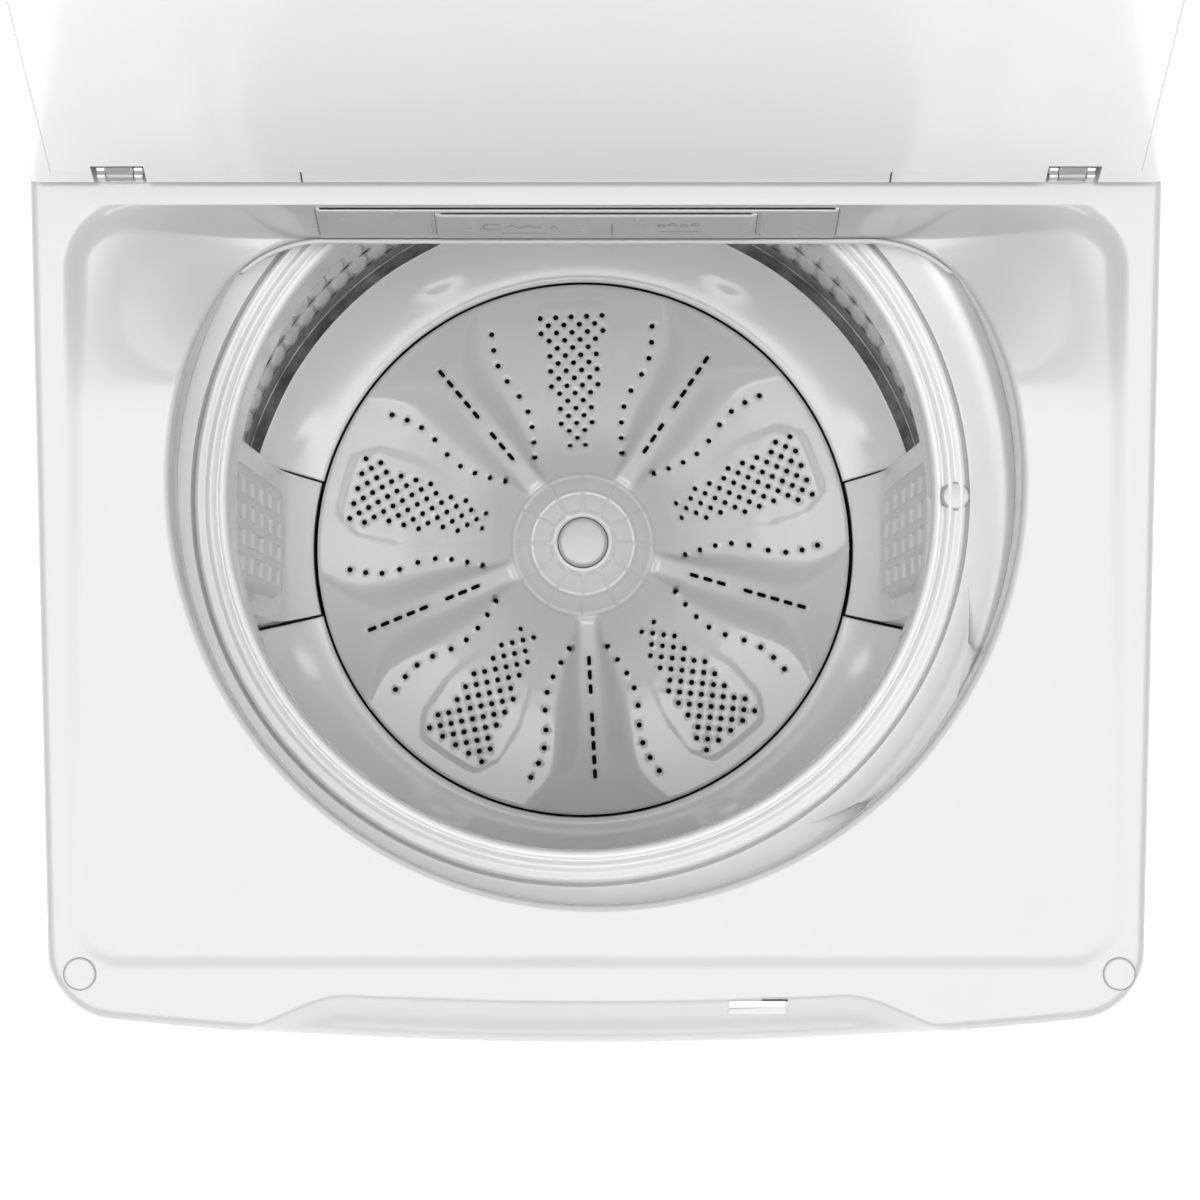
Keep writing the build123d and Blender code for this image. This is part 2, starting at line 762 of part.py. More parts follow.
with BuildPart() as cord_gland:
    with BuildSketch(Plane.XZ.offset(-CABINET_REAR_Y)):
        with Locations((GLAND_X, GLAND_Z)):
            Circle(8.8)
            Circle(4.5, mode=Mode.SUBTRACT)
    extrude(amount=14)
    with BuildSketch(Plane.XZ.offset(-CABINET_REAR_Y)):
        with Locations((GLAND_X, GLAND_Z)):
            Circle(12)
            Circle(4.5, mode=Mode.SUBTRACT)
    extrude(amount=-2)
cord_gland.part.label = "cord_gland"
export_step(cord_gland.part, "parts/cord_gland.step")

# ------------------------------------------------------------------ basket: wall, base, balance ring
PERFORATION_ROWS = 7
PERFORATION_TURNS = 12
with BuildPart() as basket_wall:
    with BuildSketch(tub_plane(WALL_FOOT_Z)):
        Circle(WALL_OUTER_R)
        Circle(WALL_INNER_R, mode=Mode.SUBTRACT)
    extrude(amount=WALL_TOP_Z - WALL_FOOT_Z)
    for turn in range(PERFORATION_TURNS):
        angle = math.radians(7.5 + 180 * turn / PERFORATION_TURNS)
        facing = Plane(
            origin=(TUB_X, TUB_Y, 620),
            x_dir=(-math.sin(angle), math.cos(angle), 0),
            z_dir=(math.cos(angle), math.sin(angle), 0),
        )
        with BuildSketch(facing):
            with GridLocations(1, 48, 1, PERFORATION_ROWS):
                Circle(1.6)
        extrude(amount=WALL_OUTER_R + 5, both=True, mode=Mode.SUBTRACT)
basket_wall.part.label = "basket_wall"
export_step(basket_wall.part, "parts/basket_wall.step")

with BuildPart() as basket_base:
    add(
        ring_of(
            [
                (30, 378),
                (203, 378),
                (203, 404),
                (206, 406),
                (250, 424),
                (257.9, 429),
                (257.9, 436.8),
                (250, 432),
                (205, 414),
                (199.5, 412),
                (199.5, 382),
                (30, 382),
            ]
        )
    )
basket_base.part.label = "basket_base"
export_step(basket_base.part, "parts/basket_base.step")

with BuildPart() as balance_ring:
    add(
        ring_of(
            [
                (LIP_R, 806),
                (LIP_R, 860),
                (222.5, 864),
                (224.5, 866),
                (226.8, 866),
                (227.2, 863.5),
                (228.2, 863.5),
                (229.2, 867),
                (232, 870),
                (235.5, 871),
                (239, 870),
                (241.6, 867),
                (GROOVE_R, 862),
                (246, 857),
                (253, 853),
                (256.9, 848),
                (256.9, 806),
                (250, 798),
                (228, 798),
            ]
        )
    )
    with BuildSketch(tub_plane(862)):
        with Locations((235.5, 0)):
            Circle(9)
    extrude(amount=20, mode=Mode.SUBTRACT)
balance_ring.part.label = "balance_ring"
export_step(balance_ring.part, "parts/balance_ring.step")

with BuildPart() as ring_plug:
    with BuildSketch(tub_plane(862)):
        with Locations((235.5, 0)):
            Circle(8.9)
    extrude(amount=8)
    with BuildSketch(tub_plane(869)):
        with Locations((235.5, 0)):
            Rectangle(10, 2)
    extrude(amount=2, mode=Mode.SUBTRACT)
ring_plug.part.label = "ring_plug"
export_step(ring_plug.part, "parts/ring_plug.step")

# ------------------------------------------------------------------ two lint columns with slotted filter panels
COLUMN_SPAN = 29
PANEL_SPAN = 17
COLUMN_FOOT = (226, 436)
COLUMN_HEAD = (246, 797)


def wedge_of(points, span, middle):
    """Part of a ring about the tub's axis, span degrees wide around the middle angle."""
    with BuildPart() as wedge:
        with BuildSketch(radial_plane(middle - span / 2)):
            with BuildLine():
                Polyline(*points, close=True)
            make_face()
        revolve(axis=TUB_AXIS, revolution_arc=span)
    return wedge.part


def column_r(z):
    """Radius of a lint column's inner face at height z."""
    return COLUMN_FOOT[0] + (COLUMN_HEAD[0] - COLUMN_FOOT[0]) * (z - COLUMN_FOOT[1]) / (
        COLUMN_HEAD[1] - COLUMN_FOOT[1]
    )


with BuildPart() as lint_columns:
    for middle in (0, 180):
        column = [
            (206, 414.7),
            COLUMN_FOOT,
            COLUMN_HEAD,
            (256.8, 797),
            (256.8, 437),
            (250, 432.3),
        ]
        add(wedge_of(column, COLUMN_SPAN, middle))
lint_columns.part.label = "lint_columns"
export_step(lint_columns.part, "parts/lint_columns.step")

PANEL_LOW_Z = 470
PANEL_HIGH_Z = 770
PANEL_ROWS = 14
with BuildPart() as lint_filters:
    for middle in (0, 180):
        panel = [
            (column_r(PANEL_LOW_Z) - 3, PANEL_LOW_Z),
            (column_r(PANEL_HIGH_Z) - 3, PANEL_HIGH_Z),
            (column_r(PANEL_HIGH_Z) - 0.1, PANEL_HIGH_Z),
            (column_r(PANEL_LOW_Z) - 0.1, PANEL_LOW_Z),
        ]
        add(wedge_of(panel, PANEL_SPAN, middle))
    with BuildSketch(Plane(origin=(TUB_X, TUB_Y, 620), x_dir=(0, 1, 0), z_dir=(1, 0, 0))):
        with GridLocations(14, (PANEL_HIGH_Z - PANEL_LOW_Z - 30) / PANEL_ROWS, 4, PANEL_ROWS):
            SlotOverall(11, 5)
    extrude(amount=250, both=True, mode=Mode.SUBTRACT)
lint_filters.part.label = "lint_filters"
export_step(lint_filters.part, "parts/lint_filters.step")

# ------------------------------------------------------------------ basket hub with its spin tube
with BuildPart() as basket_hub:
    with BuildSketch(tub_plane(370)):
        Circle(120)
    extrude(amount=8)
    with BuildSketch(tub_plane(240)):
        Circle(SPIN_TUBE_R)
    extrude(amount=130)
    with BuildSketch(tub_plane(378)):
        Circle(28)
    extrude(amount=14)
    with BuildSketch(tub_plane(240)):
        Circle(SHAFT_R + RUNNING_GAP)
    extrude(amount=160, mode=Mode.SUBTRACT)
basket_hub.part.label = "basket_hub"
export_step(basket_hub.part, "parts/basket_hub.step")

# ------------------------------------------------------------------ impeller
HOLE_R = 2
HOLE_PITCH = 11.5
HOLE_ROW = 5.7
PAD_OUTER_U = 173
PAD_ROWS = (5, 4, 5, 4, 3, 4, 3, 4, 3, 4, 3, 2, 3, 2, 3, 2, 1, 2)
FLANK_HOLES = 9


def pad_holes():
    """Staggered round holes of one flat field between two ribs, as (outward, sideways)."""
    points = []
    for row, count in enumerate(PAD_ROWS):
        outward = PAD_OUTER_U - HOLE_ROW * row
        for column in range(count):
            points.append((outward, (column - (count - 1) / 2) * HOLE_PITCH))
    return points


def flank_holes():
    """One curved row of holes on each side of a field, as (outward, sideways)."""
    points = []
    for step in range(FLANK_HOLES):
        outward = 68.5 + 11.8 * step
        sideways = 46 + 14 * math.tanh((outward - 122) / 19)
        points.extend([(outward, sideways), (outward, -sideways)])
    return points


CREST_SLOTS = [84.6 + 10.3 * step for step in range(9) if step != 3]


# The dish starts its turn on a radius that no hole crosses.
DISH_START = PAD_ANGLE - 59

with BuildPart() as impeller:
    with BuildSketch(radial_plane(DISH_START)):
        with BuildLine():
            Spline(
                (SHAFT_R + 0.1, HUB_TOP_Z),
                (22, 466),
                (36, 452),
                (62, 430),
                (100, 413),
                (150, 408),
                (IMPELLER_R, IMPELLER_RIM_Z),
            )
            Line((IMPELLER_R, IMPELLER_RIM_Z), (IMPELLER_R, IMPELLER_RIM_Z - 3))
            Spline(
                (IMPELLER_R, IMPELLER_RIM_Z - 3),
                (150, 404.6),
                (100, 409),
                (60, 425),
                (34, 445),
                (26, 450),
            )
            Polyline((26, 450), (24, 420), (SHAFT_R + 0.1, 420), (SHAFT_R + 0.1, HUB_TOP_Z))
        make_face()
    revolve(axis=TUB_AXIS)
    for rib in range(RIB_COUNT):
        with BuildSketch(radial_plane(RIB_ANGLE + 360 * rib / RIB_COUNT)):
            with BuildLine():
                Spline((20, 462), (60, 450), (110, 434), (160, 420), (190, 409))
                Polyline(
                    (190, 409), (150, 406.5), (100, 411), (60, 427.5), (36, 447), (20, 455), (20, 462)
                )
            make_face()
        extrude(amount=7, both=True)
    with BuildSketch(tub_plane(500)):
        for field in range(RIB_COUNT):
            with Locations(Location((0, 0, 0), (0, 0, PAD_ANGLE + 360 * field / RIB_COUNT))):
                with Locations(*pad_holes()):
                    Circle(HOLE_R)
                with Locations(*flank_holes()):
                    Circle(HOLE_R)
            with Locations(Location((0, 0, 0), (0, 0, RIB_ANGLE + 360 * field / RIB_COUNT))):
                with Locations(*[(outward, 0) for outward in CREST_SLOTS]):
                    SlotOverall(7.5, 3)
    extrude(amount=-110, mode=Mode.SUBTRACT)
impeller.part.label = "impeller"
export_step(impeller.part, "parts/impeller.step")

with BuildPart() as impeller_cap:
    with BuildSketch(tub_plane(HUB_TOP_Z)):
        Circle(CAP_R)
    extrude(amount=6)
    fillet(impeller_cap.edges().group_by(Axis.Z)[-1], 4.5)
impeller_cap.part.label = "impeller_cap"
export_step(impeller_cap.part, "parts/impeller_cap.step")

with BuildPart() as drive_shaft:
    with BuildSketch(tub_plane(192)):
        Circle(SHAFT_R)
    extrude(amount=455 - 192)
    with BuildSketch(tub_plane(430)):
        Circle(4.1)
    extrude(amount=30, mode=Mode.SUBTRACT)
drive_shaft.part.label = "drive_shaft"
export_step(drive_shaft.part, "parts/drive_shaft.step")

with BuildPart() as impeller_bolt:
    with BuildSketch(tub_plane(455)):
        RegularPolygon(8, 6)
    extrude(amount=8)
    with BuildSketch(tub_plane(432)):
        Circle(4)
    extrude(amount=23)
impeller_bolt.part.label = "impeller_bolt"
export_step(impeller_bolt.part, "parts/impeller_bolt.step")


# ------------------------------------------------------------------ dispenser: housing and drawer
def front_y(z):
    """Depth of the sloping rear wall of the well at height z."""
    return OPENING_FLAT_Y + (RECESS_REAR_Y - OPENING_FLAT_Y) * (z - WELL_FLOOR_Z) / (
        DECK_TOP_Z + 10 - WELL_FLOOR_Z
    )


CAVITY_LOW_Z = HOUSING_FLOOR_Z + 4
CAVITY_HIGH_Z = HOUSING_TOP_Z - 3
with BuildPart() as dispenser_housing:
    body = [
        (front_y(HOUSING_FLOOR_Z) + 0.5, HOUSING_FLOOR_Z),
        (front_y(HOUSING_TOP_Z) + 0.5, HOUSING_TOP_Z),
        (330, HOUSING_TOP_Z),
        (330, HOUSING_FLOOR_Z),
    ]
    add(side_prism(body, HOUSING_LEFT, HOUSING_RIGHT))
    with BuildSketch(Plane.XZ.offset(-140)):
        with Locations((0, (CAVITY_LOW_Z + CAVITY_HIGH_Z) / 2)):
            Rectangle(2 * DRAWER_HALF + 1.2, CAVITY_HIGH_Z - CAVITY_LOW_Z)
    extrude(amount=-185, mode=Mode.SUBTRACT)
dispenser_housing.part.label = "dispenser_housing"
export_step(dispenser_housing.part, "parts/dispenser_housing.step")

DRAWER_LOW_Z = CAVITY_LOW_Z + 0.5
DRAWER_HIGH_Z = CAVITY_HIGH_Z - 1
DIVIDER_X = 9.7
with BuildPart() as dispenser_drawer:
    tray = [
        (front_y(DRAWER_LOW_Z) - 1.5, DRAWER_LOW_Z),
        (front_y(DRAWER_HIGH_Z) - 1.5, DRAWER_HIGH_Z),
        (front_y(DRAWER_HIGH_Z) + DRAWER_LENGTH, DRAWER_HIGH_Z),
        (front_y(DRAWER_HIGH_Z) + DRAWER_LENGTH, DRAWER_LOW_Z),
    ]
    add(side_prism(tray, -DRAWER_HALF, DRAWER_HALF))
    for low_x, high_x in ((-DRAWER_HALF + 2, DIVIDER_X - 1), (DIVIDER_X + 1, DRAWER_HALF - 2)):
        with BuildSketch(Plane.XY.offset(DRAWER_LOW_Z + 2.5)):
            with Locations(((low_x + high_x) / 2, 162)):
                Rectangle(high_x - low_x, DRAWER_LENGTH - 10, align=(Align.CENTER, Align.MIN))
        extrude(amount=50, mode=Mode.SUBTRACT)
dispenser_drawer.part.label = "dispenser_drawer"
export_step(dispenser_drawer.part, "parts/dispenser_drawer.step")

SIPHON_X = 52
with BuildPart() as softener_siphon:
    with BuildSketch(Plane.XY.offset(DRAWER_LOW_Z + 2.5)):
        with Locations((SIPHON_X, 290)):
            Circle(9)
            Circle(6, mode=Mode.SUBTRACT)
    extrude(amount=26)
    with BuildSketch(Plane.XY.offset(DRAWER_LOW_Z + 28.5)):
        with Locations((SIPHON_X, 290)):
            Circle(9)
    extrude(amount=2)
softener_siphon.part.label = "softener_siphon"
export_step(softener_siphon.part, "parts/softener_siphon.step")


# ------------------------------------------------------------------ lid, drawn open in its own leaning plane
def lid_outline(inset=0):
    """Lid plan in the lid's plane: straight hinge edge, sides closing in, bowed free edge."""
    with BuildSketch() as outline:
        with BuildLine():
            Polyline(
                (-LID_FRONT_HALF, LID_LENGTH - 20),
                (-LID_HALF, -2),
                (LID_HALF, -2),
                (LID_FRONT_HALF, LID_LENGTH - 20),
            )
            ThreePointArc(
                (-LID_FRONT_HALF, LID_LENGTH - 20), (0, LID_LENGTH), (LID_FRONT_HALF, LID_LENGTH - 20)
            )
        make_face()
        fillet(outline.vertices().group_by(Axis.Y)[-1], 35)
        fillet(outline.vertices().group_by(Axis.Y)[0], 6)
        if inset:
            offset(amount=-inset)
    return outline.sketch


NOTCH_HALF = 16
with BuildPart() as lid_shell:
    with BuildSketch(LID_PLANE.offset(LID_INNER - LID_THICKNESS)):
        add(lid_outline())
    extrude(amount=LID_THICKNESS)
    with BuildSketch(LID_PLANE.offset(LID_INNER - LID_THICKNESS + 3)):
        add(lid_outline(14))
    extrude(amount=LID_THICKNESS, mode=Mode.SUBTRACT)
    with BuildSketch(LID_PLANE.offset(LID_INNER - LID_THICKNESS)):
        with Locations((-KNUCKLE_X, -2), (KNUCKLE_X, -2)):
            Rectangle(2 * NOTCH_HALF, 14, align=(Align.CENTER, Align.MIN))
    extrude(amount=LID_THICKNESS, mode=Mode.SUBTRACT)
lid_shell.part.label = "lid_shell"
export_step(lid_shell.part, "parts/lid_shell.step")

with BuildPart() as lid_inner_panel:
    with BuildSketch(LID_PLANE.offset(LID_INNER - 5)):
        add(lid_outline(14.2))
        with Locations((-KNUCKLE_X, -2), (KNUCKLE_X, -2)):
            Rectangle(2 * NOTCH_HALF, 22, align=(Align.CENTER, Align.MIN), mode=Mode.SUBTRACT)
    extrude(amount=5)
lid_inner_panel.part.label = "lid_inner_panel"
export_step(lid_inner_panel.part, "parts/lid_inner_panel.step")

with BuildPart() as lid_trims:
    with BuildSketch(LID_PLANE.offset(-10)):
        for side in (-1, 1):
            with BuildLine():
                Polyline(
                    (side * (LID_HALF - 0.6), 16),
                    (side * (LID_HALF + 1.6), 16),
                    (side * (LID_FRONT_HALF + 2.9), LID_LENGTH - 60),
                    (side * (LID_FRONT_HALF + 0.7), LID_LENGTH - 60),
                    close=True,
                )
            make_face()
    extrude(amount=10)
    with BuildSketch(LID_PLANE.offset(-10)):
        add(lid_outline(-0.05))
    extrude(amount=10, mode=Mode.SUBTRACT)
lid_trims.part.label = "lid_trims"
export_step(lid_trims.part, "parts/lid_trims.step")

HINGE_SECTION = Plane(
    origin=(0, HINGE_Y, HINGE_Z), x_dir=LID_PLANE.y_dir, z_dir=(1, 0, 0)
)
with BuildPart() as lid_knuckles:
    for side in (-1, 1):
        with BuildSketch(HINGE_SECTION.offset(side * KNUCKLE_X - 8)):
            Circle(KNUCKLE_R)
            with Locations((9, 0)):
                Rectangle(18, 6)
            with Locations((15, 0)):
                Rectangle(5.8, 15.8)
            Circle(PIN_R + RUNNING_GAP, mode=Mode.SUBTRACT)
        extrude(amount=16)
lid_knuckles.part.label = "lid_knuckles"
export_step(lid_knuckles.part, "parts/lid_knuckles.step")

with BuildPart() as lid_strike:
    with BuildSketch(LID_PLANE.offset(LID_INNER)):
        with Locations((STRIKE_X, STRIKE_V)):
            Rectangle(12, 4)
    extrude(amount=13)
    with BuildSketch(LID_PLANE.offset(LID_INNER)):
        with Locations((STRIKE_X, STRIKE_V)):
            Rectangle(26, 14)
    extrude(amount=1.2)
lid_strike.part.label = "lid_strike"
export_step(lid_strike.part, "parts/lid_strike.step")

# ------------------------------------------------------------------ lid hinge brackets and pins on the deck
def hinge_plane(x):
    """Upright plane across the lid's hinge axis at x."""
    return Plane(origin=(x, HINGE_Y, HINGE_Z), x_dir=(0, 1, 0), z_dir=(1, 0, 0))


with BuildPart() as lid_hinge_brackets:
    for side in (-1, 1):
        with BuildSketch(Plane.XY.offset(DECK_TOP_Z)):
            with Locations((side * KNUCKLE_X, HINGE_Y + 1)):
                Rectangle(29, 14)
        extrude(amount=2)
        for ear in (-11.2, 11.2):
            with BuildSketch(hinge_plane(side * KNUCKLE_X + ear)):
                Circle(KNUCKLE_R)
                with Locations((0, -9 / 2)):
                    Rectangle(2 * KNUCKLE_R, 9)
                Circle(PIN_R + 0.02, mode=Mode.SUBTRACT)
            extrude(amount=2.4, both=True)
lid_hinge_brackets.part.label = "lid_hinge_brackets"
export_step(lid_hinge_brackets.part, "parts/lid_hinge_brackets.step")

with BuildPart() as lid_hinge_pins:
    for side in (-1, 1):
        with BuildSketch(hinge_plane(side * KNUCKLE_X)):
            Circle(PIN_R)
        extrude(amount=14, both=True)
lid_hinge_pins.part.label = "lid_hinge_pins"
export_step(lid_hinge_pins.part, "parts/lid_hinge_pins.step")

# ------------------------------------------------------------------ console
CONSOLE_PROFILE = [
    (CONSOLE_FRONT_Y, DECK_TOP_Z),
    (CONSOLE_TOP_Y, CONSOLE_TOP_Z),
    (CONSOLE_BACK_Y, CONSOLE_TOP_Z),
    (CONSOLE_BACK_Y, DECK_TOP_Z),
]
KNOB_V = 86
KNOB_R = 27
DISPLAY_X = -150
BUTTONS = {"start_button": 110, "power_button": -270, "temperature_button": 170, "soil_button": 215}
BUTTON_R = 9

with BuildPart() as console_fascia:
    add(side_prism(CONSOLE_PROFILE, -CONSOLE_HALF, CONSOLE_HALF))
    fillet(console_fascia.edges().filter_by(Axis.X).group_by(Axis.Z)[-1], 10)
    inside = [
        (CONSOLE_FRONT_Y + 3.2, DECK_TOP_Z - 1),
        (CONSOLE_TOP_Y + 3, CONSOLE_TOP_Z - CONSOLE_WALL),
        (CONSOLE_BACK_Y + 1, CONSOLE_TOP_Z - CONSOLE_WALL),
        (CONSOLE_BACK_Y + 1, DECK_TOP_Z - 1),
    ]
    add(side_prism(inside, -CONSOLE_HALF + CONSOLE_WALL, CONSOLE_HALF - CONSOLE_WALL), mode=Mode.SUBTRACT)
    with BuildSketch(CONSOLE_PLANE.offset(5)):
        with Locations((0, KNOB_V)):
            Circle(8)
        with Locations((DISPLAY_X, KNOB_V)):
            Rectangle(120, 44)
        with Locations(*[(x, KNOB_V) for x in BUTTONS.values()]):
            Circle(BUTTON_R + 0.5)
    extrude(amount=-12, mode=Mode.SUBTRACT)
console_fascia.part.label = "console_fascia"
export_step(console_fascia.part, "parts/console_fascia.step")

with BuildPart() as console_back_cover:
    with BuildSketch(Plane.XZ.offset(-CONSOLE_BACK_Y + 3)):
        with Locations((0, (DECK_TOP_Z + CONSOLE_TOP_Z - CONSOLE_WALL) / 2)):
            Rectangle(
                2 * (CONSOLE_HALF - CONSOLE_WALL) - 0.4, CONSOLE_TOP_Z - DECK_TOP_Z - CONSOLE_WALL - 0.4
            )
    extrude(amount=-3)
console_back_cover.part.label = "console_back_cover"
export_step(console_back_cover.part, "parts/console_back_cover.step")

with BuildPart() as display_window:
    with BuildSketch(CONSOLE_PLANE.offset(-2)):
        with Locations((DISPLAY_X, KNOB_V)):
            Rectangle(119.6, 43.6)
    extrude(amount=2)
display_window.part.label = "display_window"
export_step(display_window.part, "parts/display_window.step")

with BuildPart() as control_board:
    with BuildSketch(CONSOLE_PLANE.offset(-20)):
        with Locations((-20, KNOB_V)):
            Rectangle(540, 60)
    extrude(amount=1.6)
    with BuildSketch(CONSOLE_PLANE.offset(-18.4)):
        with Locations((0, KNOB_V)):
            Rectangle(20, 20)
        with Locations((DISPLAY_X, KNOB_V)):
            Rectangle(110, 36)
        with Locations(*[(x, KNOB_V) for x in BUTTONS.values()]):
            Rectangle(8, 8)
    extrude(amount=6)
control_board.part.label = "control_board"
export_step(control_board.part, "parts/control_board.step")

with BuildPart() as level_sensor:
    with BuildSketch(Plane.XZ.offset(-CONSOLE_BACK_Y + 3)):
        with Locations((290, 1030)):
            Circle(24)
    extrude(amount=22)
    with BuildSketch(Plane.XZ.offset(-CONSOLE_BACK_Y + 25)):
        with Locations((290, 1030)):
            Circle(4)
    extrude(amount=12)
level_sensor.part.label = "level_sensor"
export_step(level_sensor.part, "parts/level_sensor.step")

with BuildPart() as cycle_knob:
    with BuildSketch(CONSOLE_PLANE.offset(0.6)):
        with Locations((0, KNOB_V)):
            Circle(KNOB_R)
    extrude(amount=15, taper=5)
    with BuildSketch(CONSOLE_PLANE.offset(-12)):
        with Locations((0, KNOB_V)):
            Circle(5)
    extrude(amount=13)
    with BuildSketch(CONSOLE_PLANE.offset(14.6)):
        with Locations((0, KNOB_V + 16)):
            Rectangle(2.4, 12)
    extrude(amount=2, mode=Mode.SUBTRACT)
cycle_knob.part.label = "cycle_knob"
export_step(cycle_knob.part, "parts/cycle_knob.step")


def push_button(x):
    """Round key standing through the console face, with a shoulder behind it."""
    with BuildPart() as key:
        with BuildSketch(CONSOLE_PLANE.offset(-8)):
            with Locations((x, KNOB_V)):
                Circle(BUTTON_R)
        extrude(amount=11)
        fillet(key.edges().filter_by(GeomType.CIRCLE).group_by(Axis.Y)[0], 1)
        with BuildSketch(CONSOLE_PLANE.offset(-8)):
            with Locations((x, KNOB_V)):
                Circle(BUTTON_R + 2)
        extrude(amount=3)
    return key.part


with BuildPart() as start_button:
    add(push_button(BUTTONS["start_button"]))
start_button.part.label = "start_button"
export_step(start_button.part, "parts/start_button.step")

with BuildPart() as power_button:
    add(push_button(BUTTONS["power_button"]))
power_button.part.label = "power_button"
export_step(power_button.part, "parts/power_button.step")

with BuildPart() as temperature_button:
    add(push_button(BUTTONS["temperature_button"]))
temperature_button.part.label = "temperature_button"
export_step(temperature_button.part, "parts/temperature_button.step")

with BuildPart() as soil_button:
    add(push_button(BUTTONS["soil_button"]))
soil_button.part.label = "soil_button"
export_step(soil_button.part, "parts/soil_button.step")

# ------------------------------------------------------------------ screws in the rear of the cabinet
with BuildPart() as cabinet_screws:
    with BuildSketch(Plane.XZ.offset(-CABINET_REAR_Y)):
        with GridLocations(600, 240, 2, 4):
            with Locations((0, 440)):
                RegularPolygon(4, 6)
    extrude(amount=-2)
cabinet_screws.part.label = "cabinet_screws"
export_step(cabinet_screws.part, "parts/cabinet_screws.step")
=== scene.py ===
import json
import math

import bmesh
import bpy
import numpy as np
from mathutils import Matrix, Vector, geometry


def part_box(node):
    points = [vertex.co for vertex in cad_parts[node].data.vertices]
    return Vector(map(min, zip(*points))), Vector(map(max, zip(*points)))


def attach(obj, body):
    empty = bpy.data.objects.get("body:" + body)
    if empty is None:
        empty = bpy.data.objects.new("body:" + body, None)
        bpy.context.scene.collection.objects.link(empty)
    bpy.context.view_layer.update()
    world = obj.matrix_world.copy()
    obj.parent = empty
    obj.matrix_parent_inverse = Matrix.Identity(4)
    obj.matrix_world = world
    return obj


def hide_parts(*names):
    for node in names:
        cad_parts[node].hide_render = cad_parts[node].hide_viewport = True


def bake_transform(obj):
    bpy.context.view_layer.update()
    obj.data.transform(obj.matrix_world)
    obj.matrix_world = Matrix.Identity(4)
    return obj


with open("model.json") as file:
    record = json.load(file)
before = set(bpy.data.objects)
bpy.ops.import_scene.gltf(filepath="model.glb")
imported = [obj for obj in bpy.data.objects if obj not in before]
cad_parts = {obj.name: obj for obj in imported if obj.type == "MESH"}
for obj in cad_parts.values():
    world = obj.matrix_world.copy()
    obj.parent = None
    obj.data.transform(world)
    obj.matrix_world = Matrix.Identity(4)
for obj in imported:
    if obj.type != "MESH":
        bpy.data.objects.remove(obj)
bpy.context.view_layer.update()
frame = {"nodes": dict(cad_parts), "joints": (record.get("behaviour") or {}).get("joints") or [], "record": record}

# Shapes are worked out in millimetres in the shared frame and scaled to metres when a mesh is made.
MM = 0.001
SIDES = ((-1, "left"), (1, "right"))


def box_mm(node):
    """Lowest and highest corner of a CAD node, in millimetres."""
    low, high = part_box(node)
    return [value / MM for value in low], [value / MM for value in high]


# ---------------- places taken from the frame
DECK_LOW, DECK_HIGH = box_mm("top_deck")
WALL_LOW, WALL_HIGH = box_mm("basket_wall")
IMP_LOW, IMP_HIGH = box_mm("impeller")
CAP_LOW, CAP_HIGH = box_mm("impeller_cap")
HOUSING_LOW, HOUSING_HIGH = box_mm("dispenser_housing")
DRAWER_LOW, DRAWER_HIGH = box_mm("dispenser_drawer")
HINGE = {joint["name"]: joint for joint in frame["joints"]}["lid_hinge"]

TUB_X = (WALL_LOW[0] + WALL_HIGH[0]) / 2
TUB_Y = (WALL_LOW[1] + WALL_HIGH[1]) / 2
WALL_R = (WALL_HIGH[0] - WALL_LOW[0]) / 2 - 1
IMPELLER_R = (IMP_HIGH[0] - IMP_LOW[0]) / 2


def smooth(value):
    """Cubic step from 0 to 1."""
    value = np.clip(value, 0.0, 1.0)
    return value * value * (3 - 2 * value)


# ---------------- mesh helpers
def make_object(name, points_mm, faces, material, body, replaced=(), sharp=40):
    """Mesh object from points in millimetres, smooth shaded with sharp edges over an angle."""
    mesh = bpy.data.meshes.new(name)
    mesh.from_pydata((np.asarray(points_mm, dtype=float) * MM).tolist(), [], faces)
    mesh.validate()
    mesh.polygons.foreach_set("use_smooth", [True] * len(mesh.polygons))
    mesh.set_sharp_from_angle(angle=math.radians(sharp))
    mesh.update()
    obj = bpy.data.objects.new(name, mesh)
    bpy.context.scene.collection.objects.link(obj)
    mesh.materials.append(material)
    if body:
        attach(obj, body)
    if replaced:
        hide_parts(*replaced)
    return obj


def grid_faces(rows, columns, wrap_columns=False, wrap_rows=False):
    """Quads of a rows x columns grid of points, stored row by row."""
    faces = []
    for i in range(rows if wrap_rows else rows - 1):
        for j in range(columns if wrap_columns else columns - 1):
            k = (j + 1) % columns
            m = (i + 1) % rows
            faces.append((i * columns + j, i * columns + k, m * columns + k, m * columns + j))
    return faces


def tube_faces(rows, columns):
    """Sides and two flat ends of a tube with rows cross sections of columns points each."""
    last = (rows - 1) * columns
    ends = [tuple(range(columns)), tuple(reversed(range(last, last + columns)))]
    return grid_faces(rows, columns, wrap_columns=True) + ends


def direction_at(path, index):
    """Unit direction of a path's first two coordinates at one of its points."""
    ahead = path[min(index + 1, len(path) - 1)]
    behind = path[max(index - 1, 0)]
    first, second = ahead[0] - behind[0], ahead[1] - behind[1]
    size = math.hypot(first, second)
    return first / size, second / size


def rounded_profile(points, radius, steps):
    """Closed polygon of (r, z) points with every corner rounded by up to radius."""
    rounded = []
    count = len(points)
    for index in range(count):
        corner = Vector(points[index])
        before = Vector(points[index - 1])
        after = Vector(points[(index + 1) % count])
        reach = min(radius, (before - corner).length * 0.45, (after - corner).length * 0.45)
        start = corner + (before - corner).normalized() * reach
        end = corner + (after - corner).normalized() * reach
        for step in range(steps + 1):
            t = step / steps
            rounded.append(start * (1 - t) ** 2 + corner * 2 * t * (1 - t) + end * t * t)
    return rounded


